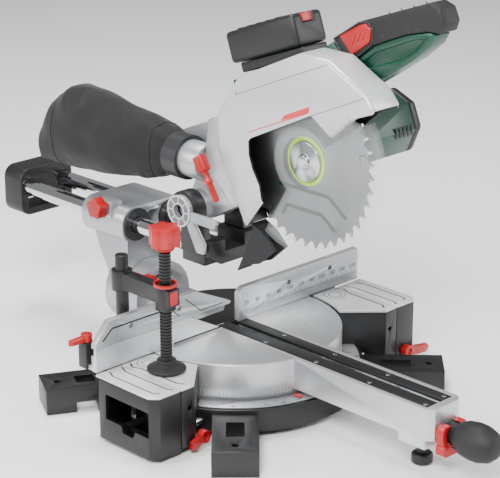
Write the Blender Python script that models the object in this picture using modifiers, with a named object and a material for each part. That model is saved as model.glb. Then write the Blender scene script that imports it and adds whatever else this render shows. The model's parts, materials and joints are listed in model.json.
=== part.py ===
"""A bench-top cordless sliding mitre saw, one object per sub-part, in metres with +Z up.

X runs along the fence to the operator's right, Y runs away from the operator and Z is up.
Sizes are in millimetres, measured from the swivel axis at the table's surface, and
stand_on_floor() at the end moves the whole saw so that its base stands on Z = 0.
"""

import math

import bmesh
import bpy
from mathutils import Matrix, Vector

MM = 0.001
GAP = 0.3              # clearance between pieces that touch
RUN = 0.6              # clearance between pieces that move past each other

# table
TABLE_HEIGHT = 85.0    # floor to table surface
TABLE_R = 137.0        # turntable
WING_GAP = 4.0         # turntable to fixed table
MITRE_MAX = 47.0       # degrees each way
ARM_HALF = 29.0        # turntable arm, half its width
ARM_REACH = 352.0      # swivel axis to the arm's front face
ARM_CLEAR = 9.0        # arm to table corner at full swivel
ARM_DEPTH = 40.0       # arm's side walls
ARM_NOSE_DEPTH = 51.0  # the deeper front of the arm
ARM_NOSE_LENGTH = 48.0
ARM_WALL = 5.0
INSERT_HALF = 22.5     # kerf insert, half its width
INSERT_THICK = 4.0
KERF_LEFT = 2.8        # slot edges each side of the blade's middle plane
KERF_RIGHT = 6.6

# base
BASE_R = 165.0
BASE_WALL = 7.0
DECK_TOP = -48.0
DECK_THICK = 5.0
BASE_BOTTOM = -77.0
WING_X = 191.0         # fixed table ends here and the extension begins
WING_FRONT = -107.0
WING_BACK = 48.0
PLATE_THICK = 3.0
FOOT_TOP = -53.0
FOOT_HALF = 28.0
FRONT_FOOT_REACH = 268.0
FRONT_FOOT_ANGLE = 46.0    # degrees forward of the X axis
REAR_FOOT_REACH = 252.0
REAR_FOOT_ANGLE = -28.0

# table extension
EXT_END = 235.0
EXT_BACK = -8.0
EXT_BOTTOM = -80.0
EXT_WALL = 9.0
EXT_CORNER = 10.0
ROD_R = 5.0
ROD_Z = -63.0
ROD_YS = (-84.0, -36.0)
ROD_INNER_X = 92.0

# fences
FENCE_END = 231.0
FENCE_THICK = 8.5
FENCE_LOW = 29.5       # split between the fixed and the sliding left fence
FENCE_TOP = 61.0
RIGHT_FENCE_TOP = 45.0
FENCE_FLANGE = 16.0    # back of the fences' feet
TONGUE_LOW = 20.7
TONGUE_FRONT = 4.6
FENCE_LOCK_AT = (-225.5, 24.0)

# clamp
CLAMP_X = -165.0
POST_Y = 27.0
SPINDLE_Y = -52.0
POST_R = 8.0
POST_TOP = 128.0
SPINDLE_R = 7.5
PAD_R = 24.0
CLAMP_ARM_Z = (84.0, 109.0)
KNOB_R = 19.5

# bevel bracket and rails
TRUNNION_R = 47.0
TRUNNION_FRONT = 138.0
TRUNNION_SPLIT = 166.0
TRUNNION_BACK = 202.0
RAIL_X = 30.0
RAIL_Z = 103.0
RAIL_R = 11.0
RAIL_BACK = 392.0
RAIL_FRONT = 12.0
BUSH_WALL = 7.0
HOUSING_WALL = 6.0
HOUSING_FRONT = 155.0
HOUSING_BACK = 238.0

# head
PIVOT_Y = 45.0
PIVOT_Z = 153.0
HUB_R = 21.0
HUB_HALF = 28.0
LUG_THICK = 18.0
BLADE_R = 108.0
BLADE_THICK = 2.2
TEETH = 40
BLADE_Y = -124.0
BLADE_Z = 243.6
GUARD_LEFT = -27.0     # upper guard's outer faces
GUARD_RIGHT = 20.0
GUARD_WALL = 3.0
LOWER_GUARD_R = 116.0
LOWER_GUARD_HALF = 12.0
LOWER_GUARD_WALL = 3.0
MOTOR_R = 43.0
MOTOR_Y = -136.0
MOTOR_Z = 268.0
MOTOR_END = 150.0
HANDLE_LEFT = 22.0
HANDLE_RIGHT = 48.0
TRIGGER_X = (33.0, 43.0)

COLLECTION = "mitre_saw"


def clear_scene():
    for obj in list(bpy.data.objects):
        bpy.data.objects.remove(obj, do_unlink=True)


def new_collection(name):
    collection = bpy.data.collections.new(name)
    bpy.context.scene.collection.children.link(collection)
    return collection


def srgb(colour):
    """Linear RGB of a hex colour."""
    out = []
    for k in (0, 2, 4):
        c = int(colour[k:k + 2], 16) / 255
        out.append(c / 12.92 if c <= 0.04045 else ((c + 0.055) / 1.055) ** 2.4)
    return out


PAINTS = {
    "black_paint": ("1d1e20", 0.45, 0.0),
    "black_plastic": ("191a1c", 0.5, 0.0),
    "black_rubber": ("232426", 0.75, 0.0),
    "silver_cast": ("c6c8ca", 0.4, 0.7),
    "silver_paint": ("d9dbdc", 0.35, 0.3),
    "machined": ("d5d7d9", 0.25, 1.0),
    "steel": ("b9bbbe", 0.25, 1.0),
    "chrome": ("dddfe2", 0.1, 1.0),
    "red_plastic": ("d8262b", 0.4, 0.0),
    "green_plastic": ("12503c", 0.4, 0.0),
    "clear_plastic": ("e8eef0", 0.05, 0.0),
    "lime_print": ("a8d62a", 0.4, 0.0),
    "bag_cloth": ("17181a", 0.9, 0.0),
}


def material(slot, name):
    """A material of the sub-part's own in one of the saw's paints."""
    colour, roughness, metallic = PAINTS[slot]
    made = bpy.data.materials.new(f"{name}_{slot}")
    made.use_nodes = True
    shader = made.node_tree.nodes["Principled BSDF"]
    shader.inputs["Base Color"].default_value = (*srgb(colour), 1.0)
    shader.inputs["Roughness"].default_value = roughness
    shader.inputs["Metallic"].default_value = metallic
    return made


# ---- solids, all in saw coordinates ----

def link(mesh, name="shape"):
    obj = bpy.data.objects.new(name, mesh)
    WORK.objects.link(obj)
    return obj


def from_bmesh(bm):
    mesh = bpy.data.meshes.new("shape")
    bmesh.ops.recalc_face_normals(bm, faces=bm.faces)
    bm.to_mesh(mesh)
    bm.free()
    return link(mesh)


def box(low, high):
    """A block between two opposite corners."""
    bm = bmesh.new()
    bmesh.ops.create_cube(bm, size=1.0)
    low, high = Vector(low) * MM, Vector(high) * MM
    size = Matrix.Diagonal((*(high - low), 1.0))
    bmesh.ops.transform(bm, matrix=Matrix.Translation((low + high) / 2) @ size, verts=bm.verts)
    return from_bmesh(bm)


def axis_frame(axis):
    """Rotation that takes +Z to the axis."""
    return Vector((0, 0, 1)).rotation_difference(Vector(axis).normalized()).to_matrix().to_4x4()


def rod(start, end, r, r_end=None, sides=20):
    """A round bar or cone between two points."""
    start, end = Vector(start) * MM, Vector(end) * MM
    bm = bmesh.new()
    bmesh.ops.create_cone(bm, cap_ends=True, segments=sides, radius1=r * MM,
                          radius2=(r if r_end is None else r_end) * MM,
                          depth=(end - start).length)
    place = Matrix.Translation((start + end) / 2) @ axis_frame(end - start)
    bmesh.ops.transform(bm, matrix=place, verts=bm.verts)
    return from_bmesh(bm)


def evaluated_mesh(obj, weld=0.0):
    """The object's mesh with its modifiers or curve settings applied, in saw coordinates."""
    bpy.context.view_layer.update()
    graph = bpy.context.evaluated_depsgraph_get()
    mesh = bpy.data.meshes.new_from_object(obj.evaluated_get(graph))
    mesh.transform(obj.matrix_world)
    if weld:
        bm = bmesh.new()
        bm.from_mesh(mesh)
        bmesh.ops.remove_doubles(bm, verts=bm.verts, dist=weld)
        bmesh.ops.recalc_face_normals(bm, faces=bm.faces)
        bm.to_mesh(mesh)
        bm.free()
    return mesh


def settle(obj, weld=0.0):
    """Replace an object by its evaluated mesh."""
    made = link(evaluated_mesh(obj, weld))
    bpy.data.objects.remove(obj, do_unlink=True)
    return made


PLANES = {
    "XY": Matrix(((1, 0, 0, 0), (0, 1, 0, 0), (0, 0, 1, 0), (0, 0, 0, 1))),
    "XZ": Matrix(((1, 0, 0, 0), (0, 0, -1, 0), (0, 1, 0, 0), (0, 0, 0, 1))),
    "YZ": Matrix(((0, 0, 1, 0), (1, 0, 0, 0), (0, 1, 0, 0), (0, 0, 0, 1))),
}


def plate(plane, outlines, low, high):
    """Flat outlines, the first the edge and the rest holes, made solid between two levels."""
    curve = bpy.data.curves.new("outline", "CURVE")
    curve.dimensions = "2D"
    curve.fill_mode = "BOTH"
    curve.extrude = (high - low) / 2 * MM
    for outline in outlines:
        spline = curve.splines.new("POLY")
        spline.points.add(len(outline) - 1)
        for point, (u, v) in zip(spline.points, outline):
            point.co = (u * MM, v * MM, 0.0, 1.0)
        spline.use_cyclic_u = True
    obj = bpy.data.objects.new("outline", curve)
    WORK.objects.link(obj)
    level = (low + high) / 2 * MM
    if plane == "XZ":
        level = -level
    obj.matrix_world = PLANES[plane] @ Matrix.Translation((0, 0, level))
    return settle(obj, weld=1e-6)


def lathe(profile, point, axis, steps=32):
    """A closed or axis-to-axis profile of (radius, height) pairs turned about an axis."""
    mesh = bpy.data.meshes.new("profile")
    edges = [(k, k + 1) for k in range(len(profile) - 1)]
    mesh.from_pydata([(r * MM, 0.0, h * MM) for r, h in profile], edges, [])
    obj = link(mesh)
    screw = obj.modifiers.new("turn", "SCREW")
    screw.steps = steps
    screw.render_steps = steps
    screw.use_merge_vertices = True
    screw.merge_threshold = 0.00001
    place = Matrix.Translation(Vector(point) * MM) @ axis_frame(axis)
    made = settle(obj, weld=1e-6)
    made.data.transform(place)
    return made


def boolean(target, tools, operation):
    """Cut the tools from the target, or join them to it."""
    for tool in tools:
        modifier = target.modifiers.new("shape", "BOOLEAN")
        modifier.operation = operation
        modifier.solver = "EXACT"
        modifier.object = tool
        target = settle(target)
        bpy.data.objects.remove(tool, do_unlink=True)
    return target


def cut(target, *tools):
    return boolean(target, tools, "DIFFERENCE")


def join(target, *tools):
    return boolean(target, tools, "UNION")


def bevel(obj, width, segments=1, angle=40.0):
    """Round the sharp edges."""
    modifier = obj.modifiers.new("round", "BEVEL")
    modifier.width = width * MM
    modifier.segments = segments
    modifier.limit_method = "ANGLE"
    modifier.angle_limit = math.radians(angle)
    modifier.use_clamp_overlap = True
    return settle(obj)


def turned(point, angle, axis):
    """Rotation by degrees about an axis through a point."""
    centre = Vector(point) * MM
    turn = Matrix.Rotation(math.radians(angle), 4, Vector(axis))
    return Matrix.Translation(centre) @ turn @ Matrix.Translation(-centre)


def turn(obj, point, angle, axis):
    obj.data.transform(turned(point, angle, axis))
    return obj


def mirrored(obj):
    """The same solid on the other side of the plane X = 0."""
    obj.data.transform(Matrix.Diagonal((-1, 1, 1, 1)))
    obj.data.flip_normals()
    return obj


def sided(obj, side):
    return mirrored(obj) if side < 0 else obj


# ---- outlines ----

def arc(centre, r, start, end, steps=12):
    """Points along an arc, angles in degrees."""
    cu, cv = centre
    angles = [math.radians(start + (end - start) * k / steps) for k in range(steps + 1)]
    return [(cu + r * math.cos(a), cv + r * math.sin(a)) for a in angles]


def circle(centre, r, steps=24):
    return arc(centre, r, 0, 360, steps)[:-1]


def rounded(low, high, r, steps=4):
    """A rectangle with round corners."""
    (u0, v0), (u1, v1) = low, high
    return (arc((u1 - r, v0 + r), r, -90, 0, steps) + arc((u1 - r, v1 - r), r, 0, 90, steps)
            + arc((u0 + r, v1 - r), r, 90, 180, steps) + arc((u0 + r, v0 + r), r, 180, 270, steps))


# ---- sub-parts ----

PARTS = {}
PIVOTS = {}
POINTS = {}


def pivot(name, point, parent=None):
    """An empty on a joint's axis, which the moving pieces hang from."""
    empty = bpy.data.objects.new(f"axis_{name}", None)
    SAW.objects.link(empty)
    empty.empty_display_size = 0.03
    empty.location = Vector(point) * MM
    if parent:
        empty.parent = PIVOTS[parent]
        empty.location -= Vector(POINTS[parent]) * MM
    PIVOTS[name] = empty
    POINTS[name] = point



def keep(obj, name, slot, body=None):
    """Name a finished solid, give it its material and hang it from its body's axis."""
    WORK.objects.unlink(obj)
    SAW.objects.link(obj)
    obj.name = name
    obj.data.name = name
    obj.data.materials.clear()
    obj.data.materials.append(material(slot, name))
    if body:
        obj.data.transform(Matrix.Translation(-Vector(POINTS[body]) * MM))
        obj.parent = PIVOTS[body]
    obj.data.shade_smooth()
    obj.data.set_sharp_from_angle(angle=math.radians(35))
    PARTS[name] = obj
    return obj


# ---- base and table ----

WING_ARC_R = TABLE_R + WING_GAP
CORNER_CUT = ARM_HALF + ARM_CLEAR


def wing_outline(inset=0.0, end=WING_X):
    """The right fixed table: front edge, cut corner, arc round the turntable and back edge."""
    front, back = WING_FRONT + inset, WING_BACK - inset
    r = WING_ARC_R + inset
    a = math.radians(MITRE_MAX)
    cut_distance = CORNER_CUT + inset
    front_x = (cut_distance - front * math.sin(a)) / math.cos(a)
    along = math.sqrt(r * r - cut_distance * cut_distance)
    corner = (along * math.sin(a) + cut_distance * math.cos(a),
              cut_distance * math.sin(a) - along * math.cos(a))
    start = math.degrees(math.atan2(corner[1], corner[0]))
    stop = math.degrees(math.asin(back / r))
    return [(end - inset, front), (end - inset, back)] + arc((0, 0), r, stop, start) + [(front_x, front)]


def foot(angle, reach, side):
    """A strut from the base ring to a pad on the floor, with a window through it."""
    a = math.radians(angle)
    start = BASE_R - BASE_WALL
    strut = box((start - 12, -FOOT_HALF, -TABLE_HEIGHT + 13), (reach, FOOT_HALF, FOOT_TOP))
    toe = box((reach - 38, -FOOT_HALF, -TABLE_HEIGHT), (reach, FOOT_HALF, FOOT_TOP - 4))
    strut = join(strut, toe)
    strut = cut(strut, box((start + 28, -11, -TABLE_HEIGHT - 5), (reach - 42, 11, FOOT_TOP + 5)))
    strut = cut(strut, rod((reach - 19, 0, -TABLE_HEIGHT - 5), (reach - 19, 0, 0), 4.5))
    turn(strut, (0, 0, 0), -math.degrees(a), (0, 0, 1))
    return sided(strut, side)


def fixed_wing(side):
    """One hollow fixed table with its front wall and the frame that guides the rods."""
    block = plate("XY", [wing_outline()], BASE_BOTTOM, -PLATE_THICK - GAP)
    hollow = plate("XY", [wing_outline(inset=BASE_WALL)], BASE_BOTTOM - 5, -10.0)
    block = cut(block, hollow)
    open_back = box((100, -70, BASE_BOTTOM - 5), (WING_X - BASE_WALL - 1, WING_BACK + 5, DECK_TOP - 1))
    block = cut(block, open_back)
    for low, high in (((WING_X - 12, -74, -54), (WING_X + 5, -50, -16)),
                      ((WING_X - 12, -24, -70), (WING_X + 5, 34, -16))):
        block = cut(block, box(low, high))
    block = cut(block, rod((WING_X - 13, WING_FRONT - 5, -27.5), (WING_X - 13, WING_FRONT + 15, -27.5), 3.2))
    return sided(block, side)


def base_casting():
    """The black base: ring with deck, two fixed tables and four feet."""
    ring = lathe([(12, DECK_TOP), (BASE_R, DECK_TOP), (BASE_R, BASE_BOTTOM),
                  (BASE_R - BASE_WALL, BASE_BOTTOM), (BASE_R - BASE_WALL, DECK_TOP - DECK_THICK),
                  (12, DECK_TOP - DECK_THICK), (12, DECK_TOP)], (0, 0, 0), (0, 0, 1), steps=48)
    for side in (-1, 1):
        ring = join(ring, foot(FRONT_FOOT_ANGLE, FRONT_FOOT_REACH, side))
        ring = join(ring, foot(REAR_FOOT_ANGLE, REAR_FOOT_REACH, side))
        ring = join(ring, fixed_wing(side))
    for side in (-1, 1):
        for y in ROD_YS:
            inner, outer = side * (ROD_INNER_X - 8), side * (WING_X + 5)
            ring = cut(ring, rod((inner, y, ROD_Z), (outer, y, ROD_Z), ROD_R + RUN, sides=16))
    socket = rod((CLAMP_X, POST_Y, -48), (CLAMP_X, POST_Y, -4), POST_R + 5)
    ring = join(ring, socket)
    ring = cut(ring, rod((CLAMP_X, POST_Y, -42), (CLAMP_X, POST_Y, 5), POST_R + GAP))
    keep(ring, "base_casting", "black_paint")


def table_plate(side):
    """The silver surface of a fixed table, with shallow grooves."""
    name = "table_plate_left" if side < 0 else "table_plate_right"
    outline = wing_outline(inset=0.6)
    outline = [(u, min(v, -2.0)) for u, v in outline]
    top = plate("XY", [outline], -PLATE_THICK, 0.0)
    top = sided(top, side)
    keep(top, name, "silver_paint")


def mitre_scale():
    """The silver angle scale round the front of the turntable."""
    inner, outer = TABLE_R + WING_GAP, BASE_R - 5
    ring = arc((0, 0), outer, -155, -25, 40) + arc((0, 0), inner, -25, -155, 40)
    scale = plate("XY", [ring], DECK_TOP + GAP, DECK_TOP + 2.3)
    for side in (-1, 1):
        scale = cut(scale, sided(plate("XY", [wing_outline(inset=-1.0, end=300)], -60, 0), side))
    keep(scale, "mitre_scale", "silver_cast")


# ---- table extensions ----

def extension(side):
    """A pull-out end of the table: a hollow box whose end has a window, on two rods."""
    tag = "left" if side < 0 else "right"
    body = f"extension_{tag}"
    start = WING_X + 1.0
    top = -PLATE_THICK - GAP
    front, back = WING_FRONT, EXT_BACK
    shape = [(start, front), (EXT_END - EXT_CORNER, front), (EXT_END, front + EXT_CORNER), (EXT_END, back),
             (start, back)]
    loop = plate("XY", [shape], EXT_BOTTOM, top)
    hollow = box((start - 5, front + EXT_WALL, EXT_BOTTOM + 8), (EXT_END - 8, back - EXT_WALL, top - 9))
    loop = cut(loop, hollow)
    high, low, sill = -20.0, -61.0, -52.0
    ys = [front + 10, ROD_YS[0] + 11, ROD_YS[0] + 15, ROD_YS[1] - 15, ROD_YS[1] - 11, back - 12]
    window = [(ys[0], high), (ys[0], sill), (ys[1], sill), (ys[2], low), (ys[3], low), (ys[4], sill),
              (ys[5], sill), (ys[5], high)]
    loop = cut(loop, plate("YZ", [window], EXT_END - 12, EXT_END + 5))
    for y in ROD_YS:
        loop = cut(loop, rod((EXT_END - 12, y, ROD_Z), (EXT_END - 3, y, ROD_Z), ROD_R + GAP, sides=16))
    loop = bevel(loop, 1.2)
    keep(sided(loop, side), f"extension_{tag}", "black_paint", body)

    inset = 0.6
    skin = [(start, front + inset), (EXT_END - EXT_CORNER - inset / 2, front + inset),
            (EXT_END - inset, front + EXT_CORNER + inset / 2), (EXT_END - inset, -2.0), (start, -2.0)]
    skin = plate("XY", [skin], -PLATE_THICK, 0.0)
    keep(sided(skin, side), f"extension_plate_{tag}", "silver_paint", body)

    inner = ROD_INNER_X
    bars = [rod((inner, y, ROD_Z), (EXT_END - 3 - GAP, y, ROD_Z), ROD_R, sides=16) for y in ROD_YS]
    bridge = box((EXT_END - 18, ROD_YS[0], ROD_Z - 4), (EXT_END - 12.5, ROD_YS[1], ROD_Z + 4))
    bars = join(bridge, *bars)
    keep(sided(bars, side), f"extension_rods_{tag}", "steel", body)


def extension_lever(tag, point, angle, reach):
    """A red lever with a round hub, turned so that its blade points along the angle."""
    x, z = point
    y = WING_FRONT - GAP
    hub = rod((x, y, z), (x, y - 9, z), 8)
    blade = plate("XZ", [[(x - 6, z - 5), (x + 20, z - 7), (x + reach - 5, z - 6), (x + reach, z),
                          (x + reach - 4, z + 5), (x + 20, z + 5), (x - 6, z + 6)]], y - 7.5, y - 1.5)
    lever = join(hub, turn(blade, (x, y, z), angle, (0, -1, 0)))
    lever = cut(lever, rod((x, y - 7, z), (x, y - 20, z), 4.2))
    keep(lever, f"extension_lever_{tag}", "red_plastic", f"extension_lever_{tag}")


# ---- fences ----

def fence_left_lower():
    """The fixed half of the left fence, rebated at the top for the sliding half's tongue."""
    face = [(-FENCE_END, GAP), (-FENCE_END, FENCE_LOW), (-78, FENCE_LOW), (-24, GAP)]
    low = plate("XZ", [face], 0.0, FENCE_THICK)
    flange = plate("XZ", [[(-FENCE_END + 1, GAP + 0.2), (-FENCE_END + 1, 6), (-60, 6), (-44, GAP + 0.2)]],
                   FENCE_THICK - 1, FENCE_FLANGE)
    low = join(low, flange)
    low = join(low, box((-WING_X + 3, 1, -PLATE_THICK), (-WING_ARC_R - 3, FENCE_FLANGE - 1, 3)))
    low = cut(low, box((-FENCE_END - 5, TONGUE_FRONT - RUN, TONGUE_LOW - RUN), (0, 30, 50)))
    keep(bevel(low, 0.5), "fence_left_lower", "silver_cast")


def fence_left_upper():
    """The sliding half of the left fence: a tongue in the rebate and a leg hooked behind."""
    low = FENCE_LOW + GAP
    face = [(-FENCE_END, low), (-FENCE_END, 36), (-FENCE_END + 22, FENCE_TOP), (-68, FENCE_TOP),
            (-7.5, 32.5), (-10, low)]
    upper = plate("XZ", [face], 0.0, FENCE_THICK)
    tongue = plate("XZ", [[(-FENCE_END + 8, TONGUE_LOW), (-FENCE_END + 8, low + 2), (-12, low + 2),
                           (-16, TONGUE_LOW)]], TONGUE_FRONT, FENCE_THICK - 0.2)
    hook = plate("XZ", [[(-200, 12), (-200, 40), (-96, 40), (-96, 12)]], FENCE_THICK + RUN, FENCE_THICK + 4.5)
    root = plate("XZ", [[(-198, TONGUE_LOW + 2), (-198, 38), (-98, 38), (-98, TONGUE_LOW + 2)]],
                 FENCE_THICK - 2, FENCE_THICK + 3)
    upper = join(upper, tongue, root, hook)
    for x in (-175, -96):
        upper = cut(upper, rod((x, -5, 46), (x, 25, 46), 3.4))
    keep(bevel(upper, 0.5), "fence_left_upper", "silver_cast", "fence_slide")


def fence_right():
    face = [(7.2, GAP), (7.2, 39), (14, RIGHT_FENCE_TOP), (FENCE_END - 2, RIGHT_FENCE_TOP),
            (FENCE_END, RIGHT_FENCE_TOP - 3), (FENCE_END, GAP)]
    fence = plate("XZ", [face], 0.0, FENCE_THICK)
    flange = plate("XZ", [[(40, GAP + 0.2), (40, 6), (FENCE_END - 1, 6), (FENCE_END - 1, GAP + 0.2)]],
                   FENCE_THICK - 1, FENCE_FLANGE)
    fence = join(fence, flange)
    fence = join(fence, box((WING_ARC_R + 3, 1, -PLATE_THICK), (WING_X - 3, FENCE_FLANGE - 1, 3)))
    for x in (98, 176):
        fence = cut(fence, rod((x, -5, 30), (x, 25, 30), 3.4))
    keep(bevel(fence, 0.6), "fence_right", "silver_cast")


def fence_lock():
    """The block behind the left fence that clamps the sliding half, and its red lever."""
    x, y = FENCE_LOCK_AT
    block = box((x - 7.5, FENCE_FLANGE + GAP, GAP), (x + 7.5, y + 7, 33))
    block = cut(block, rod((x, y, 20), (x, y, 40), 3.5 + GAP))
    keep(block, "fence_lock_block", "black_plastic")
    stem = rod((x, y, 22), (x, y, 44), 3.5)
    hub = rod((x, y, 33 + GAP), (x, y, 43), 7)
    blade = [(x + 4, y - 5), (x - 24, y - 4), (x - 28, y), (x - 24, y + 4), (x + 4, y + 5)]
    blade = plate("XY", [blade], 34, 40)
    lever = join(hub, blade, stem)
    keep(lever, "fence_lock_lever", "red_plastic", "fence_lock")


# ---- clamp ----

def clamp():
    post = rod((CLAMP_X, POST_Y, -41), (CLAMP_X, POST_Y, POST_TOP), POST_R)
    keep(post, "clamp_post", "black_paint", "clamp_post")
    low, high = CLAMP_ARM_Z
    bar = box((CLAMP_X - 8, SPINDLE_Y, low + 3), (CLAMP_X + 8, POST_Y, high - 2))
    back = rod((CLAMP_X, POST_Y, low), (CLAMP_X, POST_Y, high), POST_R + 5, sides=24)
    front = rod((CLAMP_X, SPINDLE_Y, low - 4), (CLAMP_X, SPINDLE_Y, high), SPINDLE_R + 5, sides=24)
    nose = box((CLAMP_X - 9, SPINDLE_Y - 15, low + 2), (CLAMP_X + 9, SPINDLE_Y, high - 2))
    arm = join(bar, back, front, nose)
    arm = cut(arm, rod((CLAMP_X, POST_Y, 0), (CLAMP_X, POST_Y, 200), POST_R + GAP, sides=24))
    arm = cut(arm, rod((CLAMP_X, SPINDLE_Y, 0), (CLAMP_X, SPINDLE_Y, 200), SPINDLE_R + RUN, sides=24))
    keep(arm, "clamp_arm", "black_paint", "clamp_arm")
    pad = lathe([(0, GAP), (PAD_R - 2, GAP), (PAD_R, 2.3), (PAD_R, 4.5), (PAD_R - 3, 6), (12, 8.5),
                 (12, 15), (5, 15), (5, 10.5), (0, 10.5), (0, GAP)],
                (CLAMP_X, SPINDLE_Y, 0), (0, 0, 1), steps=24)
    keep(pad, "clamp_pad", "black_rubber", "clamp_pad")
    spindle = lathe([(0, 10.8), (4.4, 10.8), (4.4, 15.5), (SPINDLE_R, 15.5), (SPINDLE_R, 152), (5, 154),
                     (5, 172), (0, 172), (0, 10.8)], (CLAMP_X, SPINDLE_Y, 0), (0, 0, 1), steps=20)
    keep(spindle, "clamp_spindle", "steel", "clamp_spindle")
    outline = []
    for k in range(36):
        a = math.radians(k * 10)
        r = KNOB_R - 2.2 + 2.2 * math.cos(6 * a)
        outline.append((CLAMP_X + r * math.cos(a), SPINDLE_Y + r * math.sin(a)))
    knob = plate("XY", [outline], 160, 183)
    neck = rod((CLAMP_X, SPINDLE_Y, 154.3), (CLAMP_X, SPINDLE_Y, 161), 11, 14, sides=24)
    knob = join(knob, neck)
    knob = cut(knob, rod((CLAMP_X, SPINDLE_Y, 150), (CLAMP_X, SPINDLE_Y, 172 + GAP), 5 + GAP))
    keep(knob, "clamp_knob", "red_plastic", "clamp_spindle")


# ---- turntable ----

def turntable():
    """The swivelling table with its arm, in one silver casting."""
    r = TABLE_R
    disc = lathe([(0, 0), (r - 1, 0), (r, -1), (r, DECK_TOP + GAP), (r - 19, DECK_TOP + GAP),
                  (r - 19, DECK_TOP + 7), (r - 6, DECK_TOP + 7), (r - 6, -7), (20, -7), (20, -24),
                  (11.4, -24), (11.4, DECK_TOP - DECK_THICK), (0, DECK_TOP - DECK_THICK), (0, 0)],
                 (0, 0, 0), (0, 0, 1), steps=60)
    c = 8.0
    front = -ARM_REACH
    top = [(-ARM_HALF, -r + 12), (-ARM_HALF, front + c), (-ARM_HALF + c, front), (ARM_HALF - c, front),
           (ARM_HALF, front + c), (ARM_HALF, -r + 12)]
    arm = plate("XY", [top], -ARM_DEPTH, 0)
    nose = box((-ARM_HALF, front + c, -ARM_NOSE_DEPTH), (ARM_HALF, front + ARM_NOSE_LENGTH, -ARM_DEPTH + 5))
    arm = join(arm, nose)
    w = ARM_WALL
    arm = cut(arm, box((-ARM_HALF + w, front + c + w, -ARM_NOSE_DEPTH - 5), (ARM_HALF - w, -r - 1, -9)))
    web = box((-ARM_HALF + 2, -258, -ARM_DEPTH + 4), (ARM_HALF - 2, -252, -8))
    rib = box((-ARM_HALF + 2, -198, -ARM_DEPTH + 4), (ARM_HALF - 2, -192, -8))
    boss = rod((0, -317, -36), (0, -317, -8), 12)
    arm = join(arm, web, rib, boss)
    disc = join(disc, arm)
    trench = box((-18, -r + 4, -24), (24, 62, -3))
    disc = join(disc, trench)
    disc = cut(disc, box((-10, -ARM_REACH + 14, -18), (16, 54, 5)))
    seat = box((-INSERT_HALF - GAP, -ARM_REACH + 11, -INSERT_THICK - 0.3), (INSERT_HALF + GAP, 10.5, 5))
    disc = cut(disc, seat)
    disc = cut(disc, box((-200, 11, -20), (200, 200, 5)))
    floor = plate("XY", [arc((0, 0), r - 3, 6, 174, 40)], -26, -20)
    disc = join(disc, floor)
    disc = cut(disc, box((-46.3, 103.7, -60), (46.3, 200, 5)))
    disc = cut(disc, rod((0, -317, -60), (0, -317, -14), 5.3))
    disc = cut(disc, rod((0, front - 5, -32), (0, front + 30, -32), 6.3))
    keep(disc, "turntable", "silver_cast", "turntable")
    cover = arc((0, 0), r + 1.5, 5.6, 174.4, 48)
    cover = plate("XY", [cover], -19.7, -5)
    cover = cut(cover, plate("XY", [arc((0, 0), r - 2, 8.5, 171.5, 40)], -25, -8.5))
    cover = cut(cover, box((-47, 95, -30), (47, 200, 5)))
    keep(cover, "turntable_rear_cover", "black_plastic", "turntable")


def kerf_inserts():
    """The two replaceable strips either side of the blade's slot."""
    for name, low, high in (("kerf_insert_left", -INSERT_HALF, -KERF_LEFT),
                            ("kerf_insert_right", KERF_RIGHT, INSERT_HALF)):
        strip = box((low, -ARM_REACH + 11 + GAP, -INSERT_THICK), (high, 10.5 - GAP, -0.2))
        keep(strip, name, "black_plastic", "turntable")


def rear_bracket():
    """The fixed half of the tilting joint, bolted to the back of the turntable."""
    block = box((-46, 104, DECK_TOP + 1.5), (46, TRUNNION_SPLIT - GAP, -12))
    disc = rod((0, TRUNNION_FRONT, 0), (0, TRUNNION_SPLIT - GAP, 0), TRUNNION_R, sides=40)
    hood = box((-30, 104, -14), (30, TRUNNION_FRONT + 5, 8))
    bracket = join(block, disc, hood)
    bracket = cut(bracket, rod((0, 90, 0), (0, 200, 0), 8.3))
    slot = arc((0, 0), 33, 58, 128, 16) + arc((0, 0), 26, 128, 58, 16)
    bracket = cut(bracket, plate("XZ", [slot], 130, 200))
    keep(bracket, "rear_bracket", "silver_cast", "turntable")


def mitre_pointer():
    tip = plate("XY", [[(-31, -141.5), (-37, -140), (-36, -152), (-32, -152)]], DECK_TOP + 3, DECK_TOP + 5)
    keep(tip, "mitre_pointer", "red_plastic", "turntable")


def mitre_grip():
    """The black pear-shaped grip whose screw locks the turntable."""
    y = -ARM_REACH
    profile = [(0, -22), (6, -22), (6, 4), (12.5, 4), (12.5, 17), (17, 21), (21, 30), (23, 42), (22.5, 54),
               (19, 66), (12, 74), (0, 77), (0, -22)]
    grip = lathe(profile, (0, y, -32), (0, -1, 0), steps=24)
    keep(grip, "mitre_grip", "black_rubber", "mitre_grip")


def detent_lever():
    """The red lever under the grip that lifts the turntable's detent pin."""
    y = -ARM_REACH
    collar = plate("XZ", [circle((0, -32), 22, 28), circle((0, -32), 14.5, 28)], y - 13, y - 1.3)
    collar = cut(collar, box((-40, y - 20, -20), (40, y + 5, 20)))
    paddle = plate("XZ", [rounded((-21, -57), (21, -43), 5)], y - 15, y - 1.8)
    paddle = cut(paddle, rod((0, y - 60, -32), (0, y + 5, -32), 17.0))
    lever = join(collar, paddle)
    keep(lever, "detent_lever", "red_plastic", "detent_lever")


def front_foot():
    foot_ = lathe([(0, -TABLE_HEIGHT), (11, -TABLE_HEIGHT), (13, -TABLE_HEIGHT + 2), (13, -74), (11, -72),
                   (7, -72), (7, -62), (4.8, -62), (4.8, -20), (0, -20), (0, -TABLE_HEIGHT)],
                  (0, -317, 0), (0, 0, 1), steps=20)
    keep(foot_, "front_foot", "black_plastic", "front_foot")


# ---- bevel bracket and rails ----

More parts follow.
